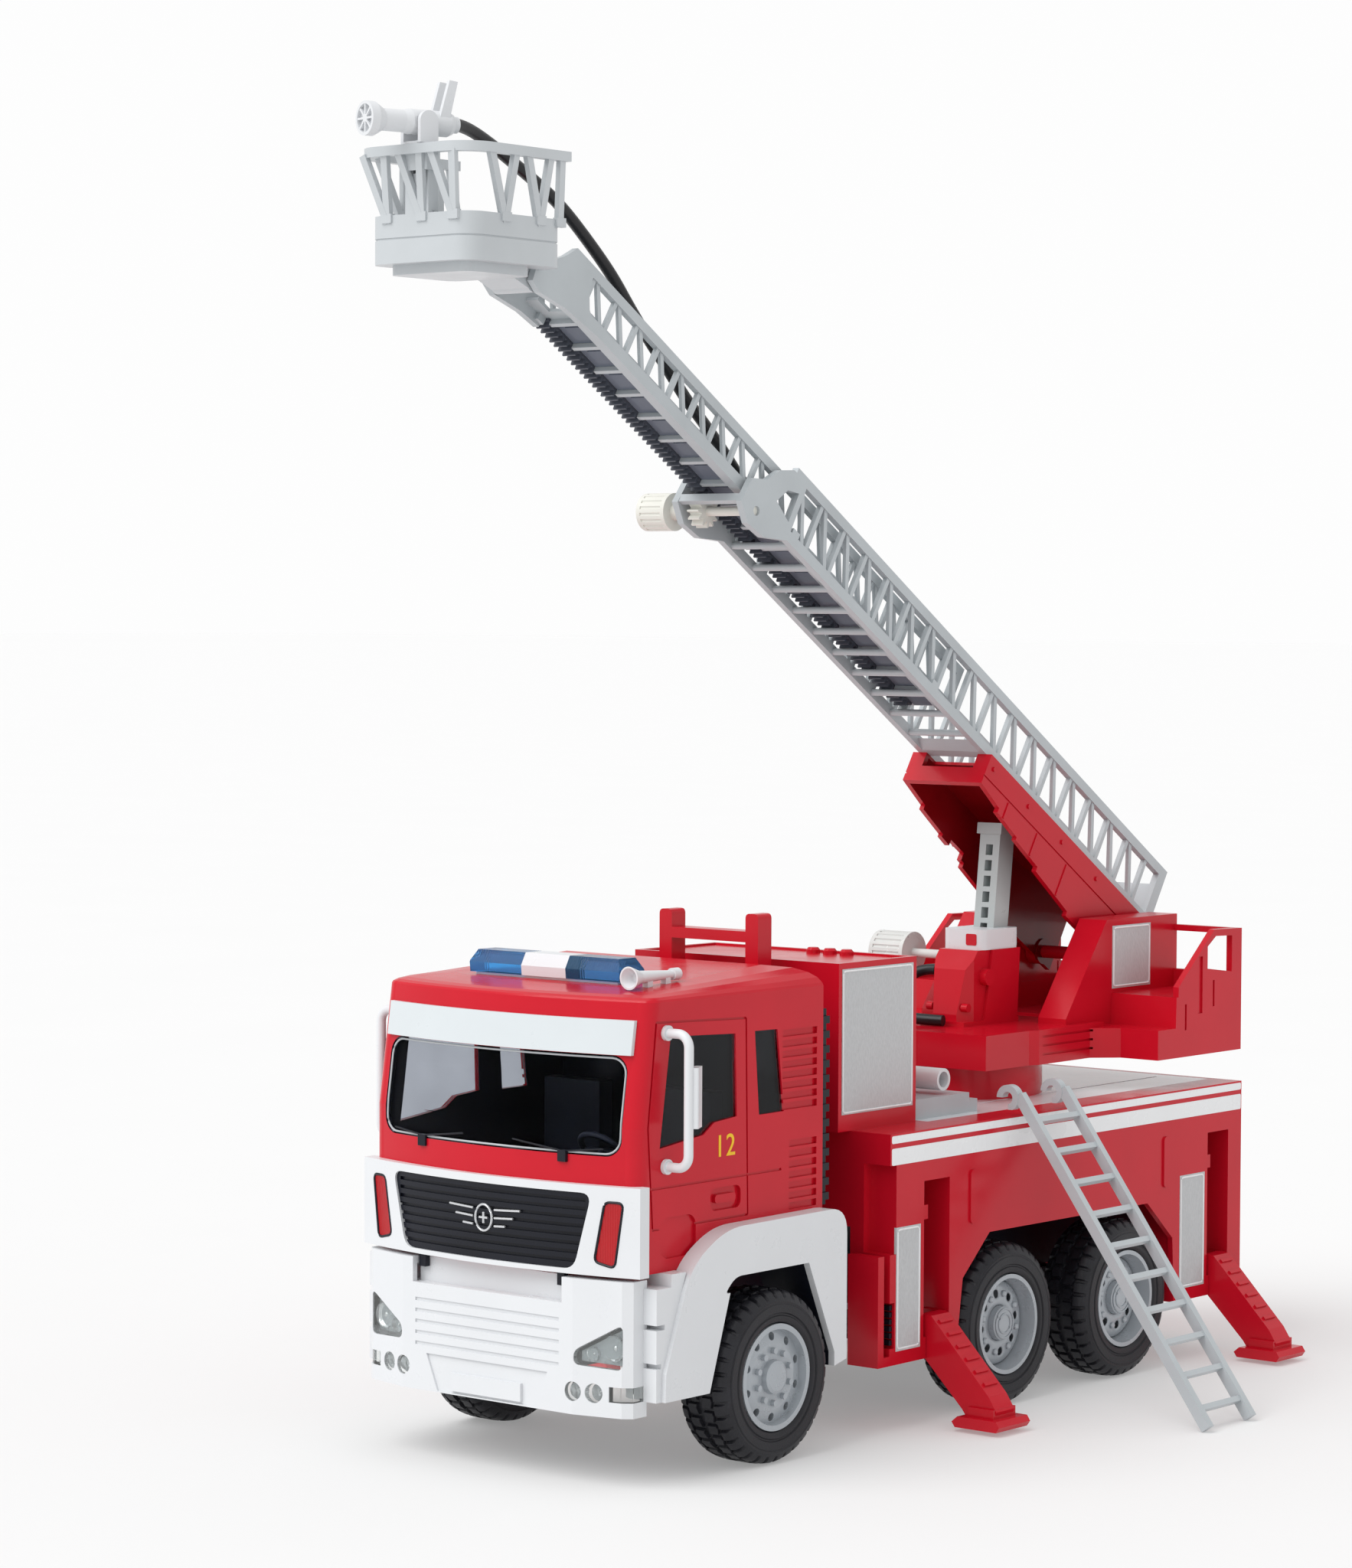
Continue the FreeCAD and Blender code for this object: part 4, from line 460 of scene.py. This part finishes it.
HOSE_R = 2.5
TURNTABLE_HOSE = [(-10.6, 304, 178), (-17.5, 304, 178), (-24, 299.4, 174), (-26, 292.5, 165.5),
                  (-21.5, 288, 158), (-10, 286.5, 156.8), (4, 289, 156.8)]
FLY_HOSE = [(0, 4.5, 513.8), (0, 18.5, 507.2), (0, 32.5, 499.4), (0, 48.5, 487.0), (0, 63.4, 474.2),
            (0, 75.0, 461.2), (0, 86.6, 449.6), (0, 98.8, 438.3), (0, 110.5, 426.5),
            (0, 121.5, 417.8), (0, 134.5, 406.6), (0, 150.5, 391.0), (0, 168.0, 377.0), (0, 186.0, 366.0)]
NOZZLE_STRETCH = [(0, 9.0, 511.8), (0, 2.0, 515.0), (0.2, -8.0, 519.6), (1.8, -21.8, 524.2),
                  (3.9, -32.0, 525.6), (4.9, -36.5, 525.5)]


def spline_curve(name, points, radius):
    """A smooth open line with these points as its control points, metres."""
    curve = bpy.data.curves.new(name, "CURVE")
    curve.dimensions = "3D"
    curve.bevel_depth = radius * MM
    curve.bevel_resolution = 5
    curve.resolution_u = 8
    curve.use_fill_caps = True
    spline = curve.splines.new("NURBS")
    spline.points.add(len(points) - 1)
    for control, point in zip(spline.points, points):
        control.co = (*place(*point), 1.0)
    spline.order_u = 3
    spline.use_endpoint_u = True
    return curve


def hose(name, points, body, node, length, start):
    curve = spline_curve(name, points, HOSE_R)
    curve.materials.append(hose_rubber)
    made = bpy.data.objects.new(name, curve)
    scene.collection.objects.link(made)
    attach(made, body)
    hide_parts(node)
    return made, place(*start), length


def nozzle_hose():
    """The end of the hose between the fly ladder's tip and the nozzle."""
    curve = spline_curve("nozzle_hose_line", NOZZLE_STRETCH, HOSE_R)
    line = bpy.data.objects.new("nozzle_hose_line", curve)
    scene.collection.objects.link(line)
    mesh = bpy.data.meshes.new_from_object(line.evaluated_get(bpy.context.evaluated_depsgraph_get()))
    bpy.data.objects.remove(line)
    bpy.data.curves.remove(curve)
    mesh.materials.clear()
    mesh.materials.append(hose_rubber)
    for face in mesh.polygons:
        face.use_smooth = True
    made = bpy.data.objects.new("nozzle_hose", mesh)
    scene.collection.objects.link(made)
    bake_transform(made)
    return made


fly_hose, fly_exit, fly_length = hose("ladder_hose", FLY_HOSE, "fly", "fly_hose", 0.2345, FLY_HOSE[-1])
turn_hose, turn_exit, turn_length = hose("drive_hose", TURNTABLE_HOSE, "turntable", "turntable_hose",
                                         0.0605, TURNTABLE_HOSE[0])
last_stretch = nozzle_hose()


# ---------------------------------------------------------------- tyres

TYRE_SETS = {"front": ("front_axle", 73.4, 80.3), "rear_1": ("rear_axle_1", 237.8, 77.3),
             "rear_2": ("rear_axle_2", 327.8, 77.3)}
AXLE_Z = 35.0
TYRE_W = 24.7
PITCH_STEPS = 12
HALF_PITCH = PITCH_STEPS // 2
GROOVE_STEPS = 3
TREAD_PITCHES = 36
CENTRE_SWING = 0.45           # how far the middle groove sways to each side, mm
SHOULDER_W = 6.0
# each column: distance in from the outer face, radius, row of blocks (0 none), depth of its cross grooves
HALF_SECTION = [
    (1.6, 21.45, 0, 0), (0.5, 22.4, 0, 0), (0.15, 23.4, 0, 0), (0.15, 24.4, 0, 0), (0.6, 24.8, 0, 0),
    (0.6, 25.4, 0, 0), (0.05, 25.8, 0, 0), (0.0, 27.2, 0, 0), (0.0, 29.0, 0, 0), (0.35, 29.3, 0, 0),
    (0.35, 29.8, 0, 0), (0.2, 30.2, 0, 0), (0.7, 31.6, 0, 0), (1.1, 32.4, 1, 0.7), (1.9, 33.6, 1, 1.1),
    (3.2, 34.4, 1, 1.3), (5.4, 34.8, 1, 1.3), (5.6, 33.6, 0, 0), (6.5, 33.6, 0, 0), (6.7, 34.9, 2, 1.2),
    (8.6, 35.0, 2, 1.2), (10.9, 35.0, 2, 1.2), (11.1, 33.6, 0, 0),
]


def tyre_form(form, y, outer, side):
    columns = list(HALF_SECTION)
    columns += [(TYRE_W - x, r, 3 - row if row else 0, deep) for x, r, row, deep in reversed(HALF_SECTION)]
    steps = PITCH_STEPS * TREAD_PITCHES
    rings = []
    for i in range(steps):
        turn = i % PITCH_STEPS
        angle = 2 * math.pi * i / steps
        swing = CENTRE_SWING * (1 - abs(turn - HALF_PITCH) / GROOVE_STEPS)
        ring = []
        for x, radius, row, deep in columns:
            phase = (turn + (HALF_PITCH if row == 2 else 0)) % PITCH_STEPS
            sunk = deep if row and phase < GROOVE_STEPS else 0.0
            middle = 1.0 if SHOULDER_W < x < TYRE_W - SHOULDER_W else 0.0
            r = radius - sunk
            across = side * (outer - x - middle * swing)
            ring.append(form.verts.new(place(across, y + r * math.cos(angle), AXLE_Z + r * math.sin(angle))))
        rings.append(ring)
    for i in range(steps):
        skin(form, rings[i], rings[(i + 1) % steps])


for axle, (body, y, outer) in TYRE_SETS.items():
    form = bmesh.new()
    for side in (1, -1):
        tyre_form(form, y, outer, side)
    made = finished("%s_treaded_tyres" % axle, form, tyre, body, replaces=("%s_tyres" % axle,))
    for face in made.data.polygons:
        face.use_smooth = True
    made.data.set_sharp_from_angle(angle=math.radians(32))


def rear_wheel_faces(form, nuts, y, outer, side):
    """The cone-shaped web of a rear wheel: eight round holes, with a nut between each pair."""
    turns = 24
    rows = [(18.3, 8.0), (16.4, 7.0), (14.6, 6.6), (10.9, 6.2), (9.2, 6.2), (7.5, 6.6)]
    rings = []
    for radius, depth in rows:
        rings.append([form.verts.new(place(
            side * (outer - depth), y + radius * math.cos(2 * math.pi * k / turns),
            AXLE_Z + radius * math.sin(2 * math.pi * k / turns))) for k in range(turns)])
    for row in range(len(rows) - 1):
        for k in range(turns):
            if row == 2 and k % 3 == 0:
                continue
            m = (k + 1) % turns
            form.faces.new((rings[row][k], rings[row][m], rings[row + 1][m], rings[row + 1][k]))
    for i in range(8):
        angle = 2 * math.pi * (i + 0.69) / 8
        cy, cz = y + 12.6 * math.cos(angle), AXLE_Z + 12.6 * math.sin(angle)
        tiers = []
        for radius, depth in ((1.5, 6.6), (1.5, 5.0), (1.0, 4.6)):
            tiers.append([nuts.verts.new(place(
                side * (outer - depth), cy + radius * math.cos(math.pi * k / 3),
                cz + radius * math.sin(math.pi * k / 3))) for k in range(6)])
        for near, far in zip(tiers, tiers[1:]):
            skin(nuts, near, far)
        nuts.faces.new(tiers[0][::-1])
        nuts.faces.new(tiers[-1])
    for radius, depth in ((6.3, 2.7), (4.2, 2.7)):
        ring = [place(side * (outer - depth), y + radius * math.cos(2 * math.pi * k / 28),
                      AXLE_Z + radius * math.sin(2 * math.pi * k / 28)) for k in range(28)]
        tube(nuts, ring, 0.45, 6, closed=True)


for axle in ("rear_1", "rear_2"):
    body, y, outer = TYRE_SETS[axle]
    form = bmesh.new()
    nuts = bmesh.new()
    for side in (1, -1):
        rear_wheel_faces(form, nuts, y, outer, side)
    made = finished("%s_wheel_webs" % axle, form, rim, body)
    for face in made.data.polygons:
        face.use_smooth = True
    plate = made.modifiers.new("thickness", "SOLIDIFY")
    plate.thickness = 1.2 * MM
    plate.offset = 0.0
    rounder = made.modifiers.new("rounded_holes", "SUBSURF")
    rounder.levels = 2
    rounder.render_levels = 2
    finished("%s_wheel_nuts" % axle, nuts, rim, body)


# ---------------------------------------------------------------- markings

STRIPE_BANDS = ((111.0, 118.0), (120.0, 123.2))
STRIPE_START, STRIPE_END = 154.6, 423.8
STRIPE_BACK, STRIPE_FACE = 75.6, 75.82


def stripes():
    form = bmesh.new()
    for low, high in STRIPE_BANDS:
        both_sides(form, eased((STRIPE_START, low), (STRIPE_END, high), 0.8), STRIPE_BACK, STRIPE_FACE)
    finished("side_stripes", form, print_white, "truck", 0.06)


def door_number():
    for side in (1, -1):
        text = bpy.data.curves.new("number_line", "FONT")
        text.body = "12"
        text.size = 12.4 * MM
        text.align_x = "CENTER"
        text.align_y = "CENTER"
        text.extrude = 0.10 * MM
        text.bevel_depth = 0.05 * MM
        text.space_character = 1.1
        line = bpy.data.objects.new("number_line", text)
        scene.collection.objects.link(line)
        turned = Matrix(((0, 0, side), (side, 0, 0), (0, 1, 0))).to_4x4()
        mesh = bpy.data.meshes.new_from_object(line.evaluated_get(bpy.context.evaluated_depsgraph_get()))
        mesh.transform(Matrix.Translation(place(side * 70.02, 52, 128.4)) @ turned)
        bpy.data.objects.remove(line)
        bpy.data.curves.remove(text)
        name = "door_number_%s" % ("left" if side > 0 else "right")
        finished_mesh(name, mesh, yellow, "truck")


def grille_y(x, depth=12.0, edge=2.6):
    return -depth + (depth - edge) * (x / 73.0) ** 2


def emblem():
    """A plain generic badge: a ring with three tapering bars to each side."""
    form = bmesh.new()
    ring = []
    for i in range(28):
        angle = 2 * math.pi * i / 28
        x = 4.3 * math.cos(angle)
        ring.append(place(x, grille_y(x) - 0.25, 100.6 + 5.2 * math.sin(angle)))
    tube(form, ring, 0.5, closed=True)
    for z, reach in ((104.0, 18.5), (100.8, 15.0), (97.6, 11.0)):
        for side in (1, -1):
            path = []
            for i in range(7):
                x = side * (5.6 + (reach - 5.6) * i / 6)
                path.append(place(x, grille_y(x) - 0.2, z + 0.05 * (abs(x) - 5.6)))
            tube(form, path, 0.48)
    tube(form, [place(-2.2, grille_y(0) - 0.3, 100.6), place(2.2, grille_y(0) - 0.3, 100.6)], 0.5)
    tube(form, [place(0, grille_y(0) - 0.3, 98.4), place(0, grille_y(0) - 0.3, 102.8)], 0.5)
    finished("badge", form, chrome, "truck")


def collar_label():
    form = bmesh.new()
    outline = eased((2.2, 189.4), (8.0, 194.6), 0.8)
    solid_between(form, [place(x, 308.6, z) for x, z in outline], [place(x, 308.25, z) for x, z in outline])
    finished("collar_label", form, red, "turntable", 0.08)


stripes()
door_number()
emblem()
collar_label()


# ---------------------------------------------------------------- cab details

CAB_NOSE_Y = -10.0
CAB_BOW = 8.2
CAB_BOW_HALF = 64.0
CAB_SLOPE_Z = 139.5
CAB_TOP_Z = 188.0
CAB_LEAN_RATE = 7.2 / (CAB_TOP_Z - CAB_SLOPE_Z)


def cab_front(x, z, out=0.0):
    """y of the cab's bowed, leaning front at a place."""
    return CAB_NOSE_Y + CAB_BOW * (x / CAB_BOW_HALF) ** 2 + CAB_LEAN_RATE * max(0.0, z - CAB_SLOPE_Z) - out


def windscreen_rim():
    form = bmesh.new()
    outline = eased((-61.6, 129.4), (61.6, 166.4), 6.4, 6)
    dense = []
    for (ax, az), (bx, bz) in zip(outline, outline[1:] + outline[:1]):
        count = max(1, int(math.dist((ax, az), (bx, bz)) / 6))
        dense += [(ax + (bx - ax) * i / count, az + (bz - az) * i / count) for i in range(count)]
    tube(form, [place(x, cab_front(x, z, -0.55), z) for x, z in dense], 0.42, closed=True)
    finished("windscreen_rim", form, pale_grey, "truck")


def wipers():
    form = bmesh.new()
    for x, reach in ((-37.0, 24.0), (37.0, -24.0)):
        y = cab_front(x, 127)
        block(form, (x - 2.1, y - 1.3, 125.4), (x + 2.1, y + 1.0, 130.0))
        for far, rise in ((reach, 3.0), (-0.75 * reach, 1.8)):
            path = []
            for i in range(6):
                along = i / 5
                px, pz = x + far * along, 129.6 + rise * along
                path.append(place(px, cab_front(px, pz, 0.35), pz))
            tube(form, path, 0.42, 6)
    finished("wipers", form, dark, "truck", 0.3)


def ledge_clips():
    form = bmesh.new()
    for x in (-36.6, 36.6):
        block(form, (x - 1.9, -8.2, 77.0), (x + 1.9, -5.6, 82.0))
    finished("ledge_clips", form, dark, "truck", 0.3)


MARKER_OUTLINE = softened([(53.5, 88), (62.5, 86), (66, 111.5), (58, 111.5)], 2.5)


def marker_surrounds():
    form = bmesh.new()
    for side in (1, -1):
        path = [place(side * x, grille_y(x, 13.0, 3.4), z) for x, z in MARKER_OUTLINE]
        tube(form, path, 0.55, 6, closed=True)
    finished("marker_surrounds", form, dark, "truck")


HEADLAMP_REFLECTORS = [(51.6, -5.4, 51.6, 2.9), (60.4, -3.2, 54.4, 5.2)]
FOG_REFLECTORS = [(44.9, -6.6, 37.0, 3.4), (54.1, -4.6, 37.0, 3.4)]


def lamp_reflectors():
    """Bowls behind the lamp glasses, each a stepped dish round a small bulb."""
    bowls = bmesh.new()
    backs = bmesh.new()
    dish = [(1.0, -0.6), (0.92, 0.0), (0.62, 1.3), (0.4, 1.9), (0.22, 2.0), (0.2, 0.4), (0.08, 0.1)]
    for side in (1, -1):
        for x, y, z, radius in HEADLAMP_REFLECTORS + FOG_REFLECTORS:
            rings = []
            for share, depth in dish:
                rings.append([bowls.verts.new(place(
                    side * x + share * radius * math.cos(2 * math.pi * k / 24), y + depth,
                    z + share * radius * math.sin(2 * math.pi * k / 24))) for k in range(24)])
            for near, far in zip(rings, rings[1:]):
                skin(bowls, near, far)
            bowls.faces.new(rings[-1])
            rim_back = [v.co + Vector((0, 3.2 * MM, 0)) for v in rings[0]]
            back = [bowls.verts.new(p) for p in rim_back]
            skin(bowls, back, rings[0])
            bowls.faces.new(back[::-1])
        outline = [(46.2, 48.6), (46.2, 52.4), (65.6, 63.0), (65.6, 47.6)]
        solid_between(backs, [place(side * x, -1.4 - 0.24 * (66 - x), z) for x, z in outline],
                      [place(side * x, -0.6 - 0.24 * (66 - x), z) for x, z in outline])
    finished("lamp_bowls", bowls, chrome, "truck")
    finished("lamp_backs", backs, rim, "truck", 0.2)


windscreen_rim()
wipers()
ledge_clips()
marker_surrounds()
lamp_reflectors()


# ---------------------------------------------------------------- body details

def panel_frames():
    """The raised pale edging round each grey panel."""
    fixed = bmesh.new()
    turning = bmesh.new()
    fields = [(fixed, 55.2, (147.2, 131.2), (196.4, 191.2)), (fixed, 75.75, (158.4, 34.0), (174.6, 84.6)),
              (fixed, 75.75, (373.4, 34.0), (393.2, 84.6)), (turning, 40.2, (370.4, 168.4), (401.0, 196.2))]
    for form, x, low, high in fields:
        for side in (1, -1):
            tube(form, side_outline(eased((low[0] + 0.6, low[1] + 0.6), (high[0] - 0.6, high[1] - 0.6), 1.6),
                                    side * x), 0.42, 6, closed=True)
    finished("panel_edging", fixed, print_white, "truck")
    finished("bracket_edging", turning, print_white, "turntable")


def front_pocket_grids():
    """The dark ribbed inserts in the lower pockets of the body's front."""
    form = bmesh.new()
    for side in (1, -1):
        for i in range(6):
            z = 36.2 + 2.9 * i
            block(form, (side * 65.6, 155.2, z), (side * 74.6, 156.9, z + 2.2))
    finished("front_pocket_grids", form, dark, "truck", 0.15)


BOOM_PIVOT = (400.0, 180.0)
BOOM_ANGLE = math.radians(32.6)
RUNG_PITCH = 16.2
PANEL_LENGTH = 13.4
FLY_MIDDLE_X = 1.9


def boom_place(s, h, x):
    """A point s along the boom, h above its hinge line."""
    y = BOOM_PIVOT[0] - s * math.cos(BOOM_ANGLE) + h * math.sin(BOOM_ANGLE)
    z = BOOM_PIVOT[1] + s * math.sin(BOOM_ANGLE) + h * math.cos(BOOM_ANGLE)
    return place(x, y, z)


def fly_underside():
    """Dark recessed panels between the rungs below the fly ladder, each with a raised middle bead."""
    form = bmesh.new()
    for i in range(18):
        front = 454.4 - RUNG_PITCH * i
        back = front - PANEL_LENGTH
        for low, high, width in ((33.95, 34.35, 9.6), (33.55, 34.0, 3.0)):
            margin = 0.0 if width > 5 else 2.4
            left, right = FLY_MIDDLE_X - width / 2 - 3, FLY_MIDDLE_X + width / 2 + 3
            corners = ((front - margin, left), (front - margin, right),
                       (back + margin, right), (back + margin, left))
            solid_between(form, [boom_place(s, low, x) for s, x in corners],
                          [boom_place(s, high, x) for s, x in corners])
    finished("fly_underside", form, under_blue, "fly", 0.12)


panel_frames()
front_pocket_grids()
fly_underside()


# ---------------------------------------------------------------- floor

FLOOR_HALF = 40.0             # metres
FLOOR_GLOW = 0.26


def stage_floor():
    mesh = bpy.data.meshes.new("floor")
    corners = [(-FLOOR_HALF, -FLOOR_HALF, 0), (FLOOR_HALF, -FLOOR_HALF, 0),
               (FLOOR_HALF, FLOOR_HALF, 0), (-FLOOR_HALF, FLOOR_HALF, 0)]
    mesh.from_pydata(corners, [], [(0, 1, 2, 3)])
    floor = bpy.data.objects.new("floor", mesh)
    scene.collection.objects.link(floor)
    made, tree, shader = new_material("floor_paper")
    paper = noise(tree, object_space(tree), 6.0, 3.0)
    base = ramp(tree, paper, (0.555, 0.555, 0.555), (0.560, 0.560, 0.560))
    tree.links.new(base, shader.inputs["Base Color"])
    shader.inputs["Roughness"].default_value = 0.9
    shader.inputs["Specular IOR Level"].default_value = 0.1
    shader.inputs["Emission Color"].default_value = (1.0, 1.0, 1.0, 1.0)
    shader.inputs["Emission Strength"].default_value = FLOOR_GLOW
    mesh.materials.append(made)


stage_floor()
